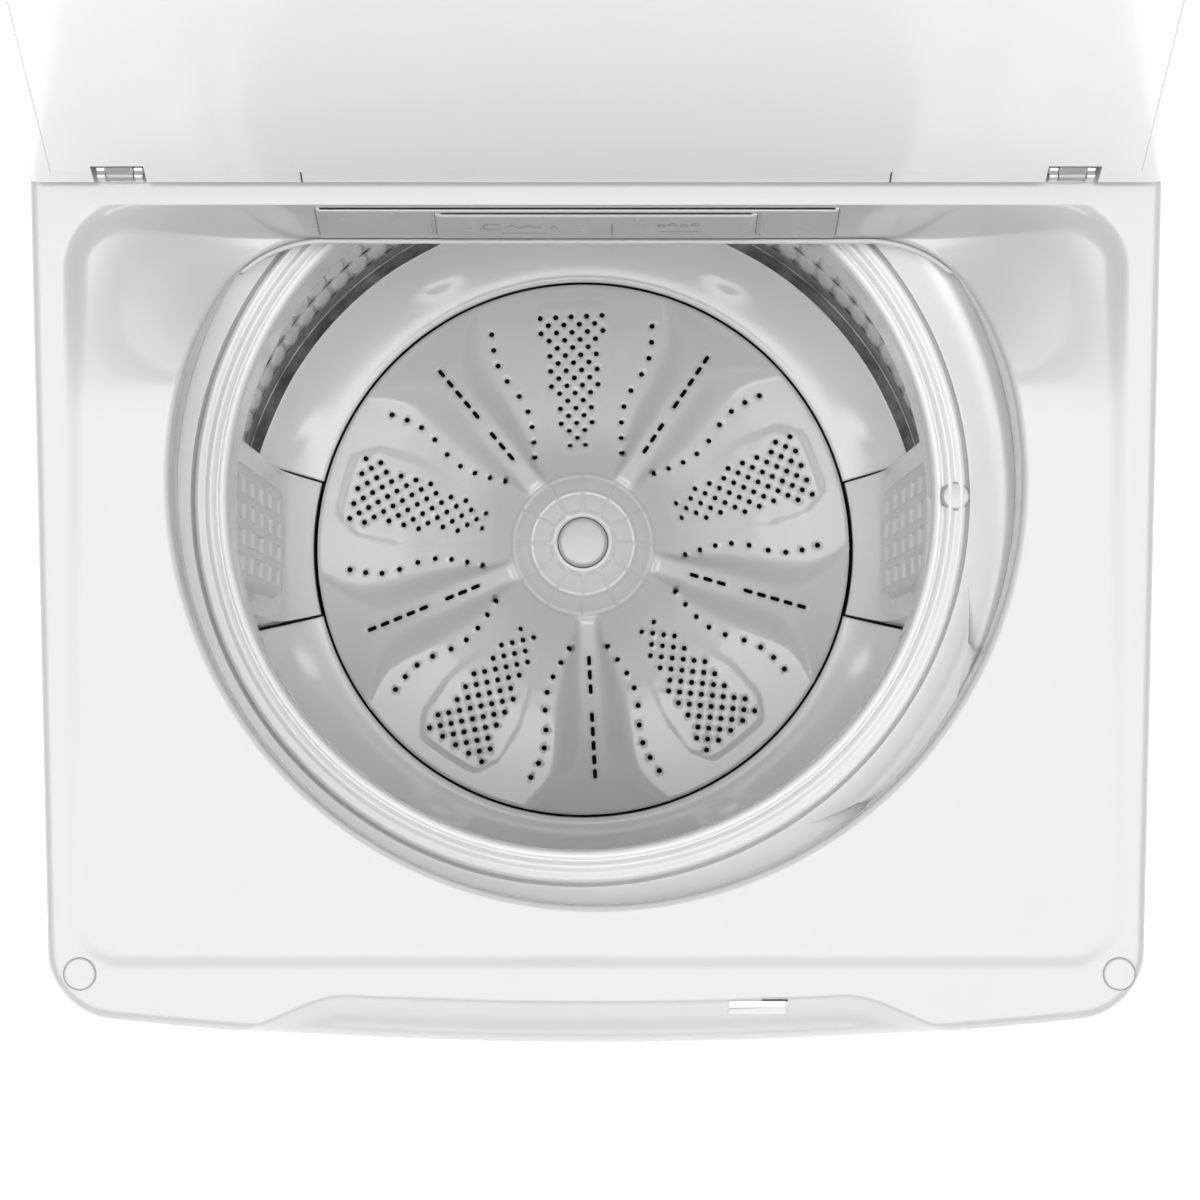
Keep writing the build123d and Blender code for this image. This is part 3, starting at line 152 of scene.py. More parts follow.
def around_tub(radius, angles, heights):
    """Points about the tub's axis, one per angle in radians."""
    return np.stack([TUB_X + radius * np.cos(angles), TUB_Y + radius * np.sin(angles), heights], axis=1)


def revolve_points(profile, turns):
    """Points of a profile turned about the tub's axis; shape[turn][profile point]."""
    angles = 2 * np.pi * np.arange(turns) / turns
    radius = np.array([point[0] for point in profile])
    height = np.array([point[1] for point in profile])
    x = TUB_X + np.outer(np.cos(angles), radius)
    y = TUB_Y + np.outer(np.sin(angles), radius)
    z = np.tile(height, (turns, 1))
    return np.stack([x, y, z], axis=2)


def face_outward(obj):
    """Turns the faces of a closed mesh outward."""
    work = bmesh.new()
    work.from_mesh(obj.data)
    bmesh.ops.recalc_face_normals(work, faces=work.faces)
    work.to_mesh(obj.data)
    work.free()


def basket_ring(name, profile, material, replaced, turns, sharp=40):
    """Closed ring of the basket about the tub's axis from a closed (r, z) profile."""
    points = revolve_points(profile, turns).reshape(-1, 3)
    faces = grid_faces(turns, len(profile), wrap_columns=True, wrap_rows=True)
    face_outward(make_object(name, points, faces, material, "basket", replaced, sharp))


def add_thickness(obj, thickness_mm, offset):
    """Gives an open sheet its thickness, on the side that offset, 1 or -1, says."""
    shell = obj.modifiers.new("thickness", "SOLIDIFY")
    shell.thickness = thickness_mm * MM
    shell.offset = offset
    shell.use_even_offset = False


def add_bevel(obj, width_mm):
    """Rounds the sharp edges of a piece."""
    bevel = obj.modifiers.new("soft_edges", "BEVEL")
    bevel.width = width_mm * MM
    bevel.segments = 3
    bevel.limit_method = "ANGLE"
    bevel.angle_limit = math.radians(30)
    bevel.harden_normals = True


# ---------------- materials
def new_material(name):
    """Empty node material with its Principled shader and output joined."""
    material = bpy.data.materials.new(name)
    material.use_nodes = True
    tree = material.node_tree
    tree.nodes.clear()
    output = tree.nodes.new("ShaderNodeOutputMaterial")
    shader = tree.nodes.new("ShaderNodeBsdfPrincipled")
    tree.links.new(shader.outputs["BSDF"], output.inputs["Surface"])
    return material, tree, shader


def object_coordinates(tree, stretch=(1, 1, 1)):
    """Object coordinates, stretched."""
    source = tree.nodes.new("ShaderNodeTexCoord")
    mapping = tree.nodes.new("ShaderNodeMapping")
    mapping.inputs["Scale"].default_value = stretch
    tree.links.new(source.outputs["Object"], mapping.inputs["Vector"])
    return mapping.outputs["Vector"]


def noise_node(tree, vector, scale, detail, roughness=0.5):
    """Noise texture on a vector."""
    noise = tree.nodes.new("ShaderNodeTexNoise")
    noise.inputs["Scale"].default_value = scale
    noise.inputs["Detail"].default_value = detail
    noise.inputs["Roughness"].default_value = roughness
    tree.links.new(vector, noise.inputs["Vector"])
    return noise.outputs["Fac"]


def vary_colour(tree, shader, factor, dark, light):
    """Base colour between two shades by a factor."""
    ramp = tree.nodes.new("ShaderNodeValToRGB")
    ramp.color_ramp.elements[0].position = 0.3
    ramp.color_ramp.elements[1].position = 0.7
    ramp.color_ramp.elements[0].color = (*dark, 1)
    ramp.color_ramp.elements[1].color = (*light, 1)
    tree.links.new(factor, ramp.inputs["Fac"])
    tree.links.new(ramp.outputs["Color"], shader.inputs["Base Color"])


def vary_roughness(tree, shader, factor, low, high):
    """Roughness between two values by a factor."""
    spread = tree.nodes.new("ShaderNodeMapRange")
    spread.inputs["To Min"].default_value = low
    spread.inputs["To Max"].default_value = high
    tree.links.new(factor, spread.inputs["Value"])
    tree.links.new(spread.outputs["Result"], shader.inputs["Roughness"])


def add_bump(tree, shader, factor, distance_mm):
    """Surface relief from a factor."""
    bump = tree.nodes.new("ShaderNodeBump")
    bump.inputs["Distance"].default_value = distance_mm * MM
    bump.inputs["Strength"].default_value = 1.0
    tree.links.new(factor, bump.inputs["Height"])
    tree.links.new(bump.outputs["Normal"], shader.inputs["Normal"])


def moulded(name, shade, gloss=0.2, grain=900, relief=0.01, coat=0.0, contrast=0.012):
    """Moulded plastic: faint cloudy colour, uneven gloss and a fine orange-peel relief."""
    material, tree, shader = new_material(name)
    place = object_coordinates(tree)
    cloud = noise_node(tree, place, 14, 4)
    vary_colour(tree, shader, cloud, (max(0, shade - contrast),) * 3, (min(1, shade + contrast),) * 3)
    vary_roughness(tree, shader, noise_node(tree, place, 60, 5), gloss * 0.8, gloss * 1.25)
    add_bump(tree, shader, noise_node(tree, place, grain, 2), relief)
    shader.inputs["Coat Weight"].default_value = coat
    shader.inputs["Coat Roughness"].default_value = 0.06
    return material


def enamel(name, shade):
    """Painted sheet steel with a smooth coat and soft orange peel."""
    material, tree, shader = new_material(name)
    place = object_coordinates(tree)
    vary_colour(tree, shader, noise_node(tree, place, 6, 3), (shade - 0.004,) * 3, (shade + 0.004,) * 3)
    vary_roughness(tree, shader, noise_node(tree, place, 40, 4), 0.25, 0.29)
    add_bump(tree, shader, noise_node(tree, place, 420, 2), 0.006)
    shader.inputs["Coat Weight"].default_value = 0.5
    shader.inputs["Coat Roughness"].default_value = 0.08
    return material


def metal(name, shade, low, high, grain, relief, stretch=(1, 1, 1)):
    """Bare metal with a drawn or cast grain along one direction."""
    material, tree, shader = new_material(name)
    place = object_coordinates(tree, stretch)
    lines = noise_node(tree, place, grain, 5, 0.6)
    vary_colour(tree, shader, lines, (shade * 0.93,) * 3, (min(1, shade * 1.05),) * 3)
    vary_roughness(tree, shader, lines, low, high)
    add_bump(tree, shader, lines, relief)
    shader.inputs["Metallic"].default_value = 1.0
    return material


def shade_and_reflection_steel(name):
    """Steel whose base colour holds a painted reflection: soft dark blotches stand for the dark inside of the tub
    mirrored in polished steel.
    """
    material, tree, shader = new_material(name)
    place = object_coordinates(tree)
    blotches = noise_node(tree, place, 34, 4, 0.7)
    vary_colour(tree, shader, blotches, (0.05, 0.05, 0.052), (0.3, 0.3, 0.31))
    vary_roughness(tree, shader, blotches, 0.25, 0.45)
    add_bump(tree, shader, blotches, 0.2)
    shader.inputs["Metallic"].default_value = 0.8
    return material


def smoked_glass(name):
    """Dark display window with faint smears."""
    material, tree, shader = new_material(name)
    place = object_coordinates(tree)
    vary_colour(tree, shader, noise_node(tree, place, 30, 3), (0.012, 0.013, 0.016), (0.02, 0.021, 0.026))
    vary_roughness(tree, shader, noise_node(tree, place, 12, 4), 0.03, 0.12)
    shader.inputs["Coat Weight"].default_value = 1.0
    return material


def circuit(name):
    """Solder mask with a darker pattern of tracks."""
    material, tree, shader = new_material(name)
    place = object_coordinates(tree)
    cells = tree.nodes.new("ShaderNodeTexVoronoi")
    cells.distance = "MANHATTAN"
    cells.inputs["Scale"].default_value = 260
    tree.links.new(place, cells.inputs["Vector"])
    vary_colour(tree, shader, cells.outputs["Distance"], (0.01, 0.09, 0.04), (0.02, 0.2, 0.09))
    vary_roughness(tree, shader, noise_node(tree, place, 200, 2), 0.3, 0.45)
    add_bump(tree, shader, cells.outputs["Distance"], 0.05)
    return material


DRAWN = (1, 1, 30)
MATERIALS = {
    # The white plastics differ in shade for how the light falls: white_plastic is darker as painted shade on the
    # open deck, and ring_plastic, base_plastic, impeller_plastic and filter_plastic are lighter as painted light
    # inside the tub.
    "white_plastic": moulded("white_plastic", 0.56, 0.2, coat=0.4, contrast=0.006),
    "white_steel": enamel("white_steel", 0.6),
    "ring_plastic": moulded("ring_plastic", 0.8, 0.2, coat=0.5),
    "basket_steel": metal("basket_steel", 0.74, 0.16, 0.34, 60, 0.01, DRAWN),
    "base_plastic": moulded("base_plastic", 0.975, 0.2, coat=0.4),
    "impeller_plastic": moulded("impeller_plastic", 0.78, 0.22, coat=0.35),
    "filter_plastic": moulded("filter_plastic", 0.985, 0.35, 1500, 0.02),
    "chrome": metal("chrome", 0.80, 0.03, 0.09, 40, 0.001),
    "zinc_steel": metal("zinc_steel", 0.55, 0.28, 0.5, 80, 0.02),
    "spring_steel": metal("spring_steel", 0.30, 0.25, 0.42, 150, 0.01),
    "bearing_steel": metal("bearing_steel", 0.50, 0.14, 0.3, 90, 0.004, (1, 1, 12)),
    "cast_alloy": metal("cast_alloy", 0.50, 0.42, 0.62, 420, 0.08),
    "black_plastic": moulded("black_plastic", 0.035, 0.45, 1600, 0.05, contrast=0.01),
    "grey_plastic": moulded("grey_plastic", 0.28, 0.4, 1500, 0.04, contrast=0.02),
    "black_rubber": moulded("black_rubber", 0.03, 0.7, 1100, 0.06, contrast=0.01),
    "pale_rubber": moulded("pale_rubber", 0.70, 0.5, 1300, 0.02),
    "display_glass": smoked_glass("display_glass"),
    "board_green": circuit("board_green"),
    "tub_plastic": moulded("tub_plastic", 0.66, 0.5, 700, 0.05, contrast=0.03),
}
# Painted shade and reflection: near-black blotched steel for the dark band at the wall's foot and the patches
# round the drain holes.
SHADE_AND_REFLECTION_STEEL = shade_and_reflection_steel("painted_shade_and_reflection_steel")
# Painted highlight: a near-white plastic finish on the rims of the steel ovals, where the light catches them.
PAINTED_HIGHLIGHT_STEEL = moulded("painted_highlight_rim_steel", 0.9, 0.25, coat=0.5)
# Painted shade: a darker copy of the basket steel on the ground between the ovals.
BETWEEN_OVALS_SHADE_STEEL = metal("painted_shade_between_ovals_steel", 0.4, 0.2, 0.4, 60, 0.01, DRAWN)
# Painted light: a much brighter copy of the white plastic for the lid and the lock tab, lifting the shade on the
# lid's inner face.
LID_BRIGHTENED_WHITE = moulded("lid_painted_light_white", 0.9, 0.2, coat=0.4, contrast=0.006)
FRONT_GREY = moulded("dispenser_grey", 0.5, 0.25, coat=0.3)
CAP_WHITE = moulded("cap_white", 0.6, 0.2, coat=0.4)
# Painted shade: near-black plastic for the floor under the impeller, so its holes and the gap at the wall's foot
# read dark.
PAINTED_SHADE_FLOOR = moulded("painted_shade_floor", 0.02, 0.6, 900, 0.02, contrast=0.008)
# Painted shade: near-black plastic put into gaps, slots and joints where only shade falls.
SEAM_SHADE = moulded("seam_shadow", 0.05, 0.6, 900, 0.01, contrast=0.01)
ICON = moulded("icon_ink", 0.25, 0.5, 900, 0.01, contrast=0.02)

SLOT_OF = {part["node"]: part["material_slot"] for part in frame["record"]["subparts"]}
# The lid's CAD parts take the brightened lid white, painted light, in place of their slot's material.
LID_NODES = ("lid_shell", "lid_inner_panel")
for node, obj in frame["nodes"].items():
    obj.data.materials.clear()
    obj.data.materials.append(LID_BRIGHTENED_WHITE if node in LID_NODES else MATERIALS[SLOT_OF[node]])


# ---------------- top deck
TAPER_Y = 174
TAPER_LENGTH = 504
REAR_HALF = DECK_HIGH[0]
FRONT_HALF = REAR_HALF - 11
FRONT_Y = DECK_LOW[1]
DECK_TOP = DECK_HIGH[2]
SKIRT_Z = DECK_LOW[2]
MOULDING_THICKNESS = 2.6
SLOPE = math.tan(math.radians(3.8))
BOW_R = 2800
RECESS_HALF = 326
RECESS_REAR = 161
RECESS_FRONT = -306
OPENING_R = 260
OPENING_Y = -4.4
FLAT_Y = 149
WELL_DEPTH = 58
LIP_Z = 897
SCOOP_Y = -323.9
SCOOP_HALF = 152
SCOOP_END = 224
FRONT_LEFT = HOUSING_LOW[0]
FRONT_RIGHT = HOUSING_HIGH[0]
FRONT_LOW = HOUSING_LOW[2]
FRONT_TOP = HOUSING_HIGH[2]


def rim_z(y):
    """Height of the deck's flat rim."""
    return DECK_TOP - np.maximum(0, TAPER_Y - y) * SLOPE


def blend_corner(first, second, radius):
    """Distance outside the overlap of two areas, with a rounded corner."""
    a = first + radius
    b = second + radius
    return np.hypot(np.maximum(a, 0), np.maximum(b, 0)) + np.minimum(np.maximum(a, b), 0) - radius


def outside_opening(x, y):
    """Distance outside the D-shaped opening."""
    return blend_corner(np.hypot(x, y - OPENING_Y) - OPENING_R, y - FLAT_Y, 30)


def outside_recess(x, y):
    """Distance outside the rounded recess."""
    middle = (RECESS_REAR + RECESS_FRONT) / 2
    half = (RECESS_REAR - RECESS_FRONT) / 2
    return blend_corner(np.abs(x) - RECESS_HALF, np.abs(y - middle) - half, 38)


def outside_deck(x, y):
    """Distance outside the deck's outline."""
    half = REAR_HALF - (REAR_HALF - FRONT_HALF) * np.clip((TAPER_Y - y) / TAPER_LENGTH, 0, None)
    bow = FRONT_Y + x * x / (2 * BOW_R) - y
    front = blend_corner(np.abs(x) - half, bow, 37)
    return np.maximum(front, blend_corner(np.abs(x) - half, y - DECK_HIGH[1], 12))


def boundary(distance, angles, reach):
    """Radius at which each ray from the opening's centre crosses a boundary."""
    low = np.full_like(angles, 50.0)
    high = np.full_like(angles, reach)
    for _ in range(40):
        middle = (low + high) / 2
        inside = distance(middle * np.cos(angles), OPENING_Y + middle * np.sin(angles)) < 0
        low = np.where(inside, middle, low)
        high = np.where(inside, high, middle)
    return low


def scoop_edge(x):
    """Front edge line of the deck's top along the hand recess."""
    ax = np.abs(x)
    edge = SCOOP_Y + 4 * (np.minimum(ax, SCOOP_HALF) / SCOOP_HALF) ** 2
    return edge - 21 * smooth((ax - SCOOP_HALF) / (SCOOP_END - SCOOP_HALF))


def quarter_round(distance, radius):
    """Drop of a rounded edge at a distance past the start of its radius."""
    return radius - np.sqrt(np.maximum(0, radius ** 2 - np.minimum(distance, radius) ** 2))


def deck_z(x, y):
    """Height of the deck's top surface."""
    inside = np.maximum(0, -outside_recess(x, y))
    fade = smooth((y - RECESS_FRONT) / 420)
    deep = 6.5 * smooth((y - 30) / 110)
    shallow = (1.5 + 2.2 * fade + deep) * smooth(inside / (13 + 3 * fade))
    spread = 1 - smooth((np.abs(x) - 205) / 112)
    slide = np.clip((RECESS_REAR - y) / (RECESS_REAR - FLAT_Y), 0, 1)
    wall = 0.8 * slide + 0.2 * smooth(slide)
    forward = 1 - smooth((FLAT_Y - 4 - y) / 95)
    well = (WELL_DEPTH - shallow) * spread * wall * forward
    height = rim_z(y) - shallow - np.maximum(0, well)
    edge = np.maximum(0, 6 + outside_deck(x, y))
    height = height - quarter_round(edge, 6)
    lip = np.maximum(0, 5 - outside_opening(x, y))
    height = height - quarter_round(lip, 5)
    into = np.maximum(0, scoop_edge(x) - y)
    into = np.sqrt(into * into + 1) - 1
    drop = 0.7 * into + 10 * (1 - np.exp(-into / 8))
    return height - drop


def in_dispenser(corners):
    """True for a face of the rear wall that the dispenser's front takes the place of."""
    x, y, z = corners.mean(axis=0)
    across = FRONT_LEFT - 0.4 < x < FRONT_RIGHT + 0.4
    upward = FRONT_LOW + 1.6 < z < FRONT_TOP - 2
    return across and upward and FLAT_Y + 0.5 < y < RECESS_REAR + 6


def build_deck():
    """Deck shell: loops from the opening's lip over the recess and the rim, then down the skirt."""
    rays = 1440
    angles = 2 * np.pi * np.arange(rays) / rays
    opening = boundary(outside_opening, angles, 420)
    recess = boundary(outside_recess, angles, 620)
    outline = boundary(outside_deck, angles, 620)
    loops = []
    lip_height = deck_z(opening * np.cos(angles), OPENING_Y + opening * np.sin(angles))
    for share in np.linspace(0, 1, 6):
        inner = opening - 0.4 * (1 - share)
        height = LIP_Z - 6 + (lip_height - LIP_Z + 6) * share
        loops.append((inner * np.cos(angles), OPENING_Y + inner * np.sin(angles), height))
    near_lip = np.concatenate([np.linspace(0.0, 0.06, 10)[1:], np.linspace(0.06, 1, 75)[1:]])
    to_edge = 0.5 - 0.5 * np.cos(np.pi * np.linspace(0, 1, 44))
    radii = [opening + (recess - opening) * share for share in near_lip]
    radii += [recess + (outline - recess) * share for share in to_edge[1:]]
    for radius in radii:
        x, y = radius * np.cos(angles), OPENING_Y + radius * np.sin(angles)
        loops.append((x, y, deck_z(x, y)))
    x, y, edge_height = loops[-1]
    for share in (0.04, 0.3, 0.65, 1.0):
        loops.append((x, y, edge_height + (SKIRT_Z - edge_height) * share))
    points = np.array(loops).transpose(0, 2, 1).reshape(-1, 3)
    faces = grid_faces(len(loops), rays, wrap_columns=True)
    faces = [face for face in faces if not in_dispenser(points[list(face)])]
    deck = make_object(
        "deck_moulding", points, faces, MATERIALS["white_plastic"], "cabinet",
        ["top_deck"], 60,
    )
    add_thickness(deck, MOULDING_THICKNESS, 1.0)


build_deck()

# ---------------- dispenser front and drawer front
WALL_FOOT_Y = 149
WALL_LEAN = 12 / 70
DRAWER_HALF = DRAWER_HIGH[0]
DRAWER_BOTTOM = DRAWER_LOW[2]
DRAWER_TOP = DRAWER_HIGH[2]
DIVIDER_X = 9.7


def wall_place(x, z, proud):
    """Point on the leaning rear wall, standing proud of it."""
    return (x, WALL_FOOT_Y + WALL_LEAN * (z - 890) - proud, z)


def panel_outline(left, right, low, high, radius, steps=6):
    """Rounded rectangle in a plane, anticlockwise."""
    outline = []
    centres = ((right - radius, high - radius), (left + radius, high - radius),
               (left + radius, low + radius), (right - radius, low + radius))
    for quarter, (cx, cz) in enumerate(centres):
        for step in range(steps + 1):
            turn = math.pi / 2 * (quarter + step / steps)
            outline.append((cx + radius * math.cos(turn), cz + radius * math.sin(turn)))
    return outline


def cushion_panel(name, outline, front, depth, edge, material, body, hole=None):
    """Panel on the rear wall with a rounded front edge; a hole leaves a window with square edges."""
    centre = np.mean(outline, axis=0)
    spread = np.ptp(np.array(outline), axis=0) / 2
    layers = []
    for step in range(5):
        turn = math.pi / 2 * step / 4
        inset = edge * (1 - math.sin(turn))
        layers.append((inset, front - edge * (1 - math.cos(turn))))
    layers.append((0, front - depth))
    points = []
    for inset, proud in layers:
        for x, z in outline:
            px = centre[0] + (x - centre[0]) * (1 - inset / spread[0])
            pz = centre[1] + (z - centre[1]) * (1 - inset / spread[1])
            points.append(wall_place(px, pz, proud))
    count = len(outline)
    if hole:
        for proud in (front - depth, front):
            points.extend(wall_place(x, z, proud) for x, z in hole)
        faces = grid_faces(len(layers) + 2, count, wrap_columns=True, wrap_rows=True)
    else:
        faces = tube_faces(len(layers), count)
    face_outward(make_object(name, points, faces, material, body, (), 50))


cushion_panel(
    "dispenser_front", panel_outline(FRONT_LEFT, FRONT_RIGHT, FRONT_LOW, FRONT_TOP, 2), 0.6, 2.4, 0.5,
    FRONT_GREY, "cabinet",
    panel_outline(-DRAWER_HALF - 3, DRAWER_HALF + 3, DRAWER_BOTTOM - 0.6, DRAWER_TOP + 1, 1.5),
)
for side, word in SIDES:
    inner, outer = side * (DRAWER_HALF - 0.6), side * (DRAWER_HALF + 3.4)
    # Dark plates behind the drawer's side gaps: painted shade in the gaps.
    cushion_panel(
        "drawer_gap_shade_" + word,
        panel_outline(min(inner, outer), max(inner, outer), DRAWER_BOTTOM - 1, DRAWER_TOP + 1.5, 0.5),
        -1.4, 0.8, 0.2, SEAM_SHADE, "cabinet",
    )
cushion_panel(
    "drawer_front", panel_outline(-DRAWER_HALF + 0.4, DRAWER_HALF - 0.4, DRAWER_BOTTOM, DRAWER_TOP, 3),
    2.6, 3.0, 1.4, FRONT_GREY, "drawer",
)


def ink_dash(points_xz, width):
    """Flat printed stroke on the drawer's front along points in x and z."""
    verts = []
    for index, (x, z) in enumerate(points_xz):
        dx, dz = direction_at(points_xz, index)
        nx, nz = -dz * width / 2, dx * width / 2
        for side, proud in ((1, 2.75), (-1, 2.75), (-1, 2.4), (1, 2.4)):
            verts.append(wall_place(x + side * nx, z + side * nz, proud))
    return verts, tube_faces(len(points_xz), 4)


def arc_points(cx, cz, radius, start, stop, steps=14):
    """Points of an arc in x and z."""
    turns = [math.radians(start + (stop - start) * k / steps) for k in range(steps + 1)]
    return [(cx + radius * math.cos(t), cz + radius * math.sin(t)) for t in turns]


def build_icons():
    """Generic care symbols printed on the drawer: a bubble and a wave at the left, drops at the right."""
    strokes = [
        arc_points(-64, 921, 5.5, 30, 330),
        [(-55 + 1.5 * k, 921 + 2.2 * math.sin(k * 0.9)) for k in range(15)],
        [(-28, 918), (-26, 924), (-24, 918)],
        [(DIVIDER_X, 905), (DIVIDER_X, 926)],
    ]
    for k in range(4):
        strokes.append(arc_points(40 + 7 * k, 923 + 2 * (k % 2), 2.4, 0, 350, 10))
    strokes += [[(38, 912), (64, 912)], [(-58, 909), (-30, 909)]]
    points = []
    faces = []
    for stroke in strokes:
        verts, sides = ink_dash(stroke, 0.9)
        faces.extend(tuple(len(points) + i for i in side) for side in sides)
        points.extend(verts)
    icons = make_object("drawer_icons", points, faces, ICON, "drawer")
    face_outward(icons)


build_icons()

# ---------------- static tub ring with its raised pad
RING_TURNS = 2160
PAD_FROM = -57
PAD_TO = -12
PAD_RISE = 8


def pad_slant(radius, degrees):
    """Turn of each ring point that makes the raised pad's two ends run on a slant."""
    slant = 10 * np.clip((radius - 248) / 12, 0, 1.6)
    right = 1 - smooth((np.abs(degrees - PAD_TO) - 1) / 9)
    left = 1 - smooth((np.abs(degrees - PAD_FROM) - 1) / 9)
    return slant * (left - right)


def pad_height(radius, degrees):
    """Raised pad at the right front of the tub ring."""
    ends = smooth(np.minimum(PAD_TO - degrees, degrees - PAD_FROM) / 0.6)
    return PAD_RISE * ends * smooth((radius - 247) / 12)


def build_tub_ring():
    """Ring that covers the tub's rim, from the groove out under the deck."""
    radii = np.concatenate([np.linspace(244.2, 250, 8), np.linspace(251, 281, 22)])
    degrees = 360 * np.arange(RING_TURNS) / RING_TURNS
    turned = np.where(degrees > 180, degrees - 360, degrees)
    crest = 866 + 11.5 * np.sin(np.clip((radii - 244.5) / 26, 0, 1) * np.pi * 0.62)
    rows = [(radius, height + pad_height(radius, turned)) for radius, height in zip(radii, crest)]
    under = ((281.0, 851.0), (275.4, 851.0), (275.4, 867.0), (262.0, 870.0), (249.0, 865.6), (244.8, 864.2))
    rows.extend((radius, np.full(RING_TURNS, height)) for radius, height in under)
    points = []
    for radius, heights in rows:
        angles = np.radians(degrees + pad_slant(radius, turned))
        points.append(around_tub(radius, angles, heights))
    faces = grid_faces(len(rows), RING_TURNS, wrap_columns=True, wrap_rows=True)
    ring = make_object(
        "tub_cover_ring", np.concatenate(points), faces, MATERIALS["ring_plastic"], "tub",
        ["tub_ring"], 50,
    )
    face_outward(ring)


build_tub_ring()

# ---------------- balance ring
BALANCE_PROFILE = [
    (228, 798), (222, 803), (221, 810), (221, 858), (222.4, 863.2), (224.6, 865), (226.6, 864.6),
    (227.3, 862.4), (228.2, 862.6), (229.4, 866.4), (231.6, 868.4), (233.6, 867.4), (235.4, 866.2),
    (237.4, 867.6), (239.4, 868.4), (241.4, 866.6), (243.2, 863.2), (246.5, 861.6), (252, 860.6),
    (256.9, 858), (256.9, 806), (250, 798),
]
basket_ring(
    "balance_ring_shell", rounded_profile(BALANCE_PROFILE, 1.6, 4), MATERIALS["ring_plastic"],
    ["balance_ring"], 540, 60,
)


def disc_button(name, x, y, z, radius, height, edge, material, body, slot, replaced=(), turns=64, lean=0.0):
    """Round button with a rounded edge; lean is its rise toward the rear."""
    profile = [(0.01, z + height)]
    for step in range(7):
        t = step / 6 * math.pi / 2
        profile.append((radius - edge + edge * math.sin(t), z + height - edge + edge * math.cos(t)))
    profile.append((radius, z))
    angles = 2 * np.pi * np.arange(turns) / turns
    points = []
    for r, h in profile:
        for angle in angles:
            px, py = r * math.cos(angle), r * math.sin(angle)
            points.append((x + px, y + py, h + lean * py))
    faces = tube_faces(len(profile), turns)
    face_outward(make_object(name, points, faces, material, body, replaced, 50))


PLUG_X = TUB_X + 235.5
PLUG_FOOT_Z = 860
# Grey disc set off to one side under the plug: painted shadow round the plug.
disc_button(
    "balance_ring_plug_shade", PLUG_X - 0.7, TUB_Y, PLUG_FOOT_Z, 9.0, 7.4, 0.3, MATERIALS["grey_plastic"],
    "basket", "ring_plastic",
)
disc_button(
    "balance_ring_plug", PLUG_X, TUB_Y, PLUG_FOOT_Z, 8.8, 7.8, 2.2, CAP_WHITE, "basket",
    "ring_plastic", ["ring_plug"],
)

# ---------------- lid bumpers and the lock's tab
BUMPER_LOW, BUMPER_HIGH = box_mm("lid_bumpers")
BUMPER_R = 9.4
BUMPER_X = BUMPER_HIGH[0] - BUMPER_R - 2.4
BUMPER_SHIFT = 2.1
BUMPER_Y = (BUMPER_LOW[1] + BUMPER_HIGH[1]) / 2 + 1.6
BUMPER_FOOT_Z = deck_z(BUMPER_X, BUMPER_Y) - 3
for side, word in SIDES:
    place = (side * BUMPER_X + BUMPER_SHIFT, BUMPER_Y, BUMPER_FOOT_Z)
    # Grey ring just wider than the bumper: painted shade round its edge.
    disc_button(
        "bumper_edge_shade_" + word, *place, BUMPER_R + 0.8, 3.2, 0.1, MATERIALS["grey_plastic"],
        "cabinet", "pale_rubber", lean=SLOPE,
    )
    disc_button(
        "bumper_" + word, *place, BUMPER_R, 4.6, 1.4, MATERIALS["pale_rubber"],
        "cabinet", "pale_rubber", ["lid_bumpers"] if side < 0 else (), lean=SLOPE,
    )


def face_block(name, left, right, y_from, y_to, proud, sink, edge, material):
    """Rounded plate lying on the hand recess's sloping face."""
    outline = panel_outline(left, right, y_from, y_to, edge, 5)
    middle_x, middle_y = (left + right) / 2, (y_from + y_to) / 2
    points = []
    for inset, lift in ((0.7, proud), (0.2, proud - 0.2), (0, proud - 0.7), (0, -sink)):
        for x, y in outline:
            px = middle_x + (x - middle_x) * (1 - 2 * inset / (right - left))
            py = middle_y + (y - middle_y) * (1 - 2 * inset / (y_to - y_from))
            points.append((px, py, deck_z(px, py) + lift))
    faces = tube_faces(4, len(outline))
    face_outward(make_object(name, points, faces, material, "cabinet", (), 50))


TAB_LEFT = 81
TAB_RIGHT = 116
# The tab takes the brightened lid white: painted light.
face_block("lock_tab", TAB_LEFT, TAB_RIGHT, -327.2, -322.8, 2.0, 2.0, 1.0, LID_BRIGHTENED_WHITE)
# Dark plate in the lock's slot: painted shade.
face_block("lock_slot", TAB_RIGHT - 15, TAB_RIGHT + 1, -323.2, -321.9, 0.8, 1.5, 0.4, SEAM_SHADE)

# ---------------- embossed steel wall
WALL_FOOT = 446
WALL_HEAD = 846
CELLS_ROUND = 92
CELL_HEIGHT = 58
CELLS_FROM = 468
DRAIN_R = 2.6
# Radius of the painted shade patch round each drain hole.
HOLE_SHADE_R = 5.2


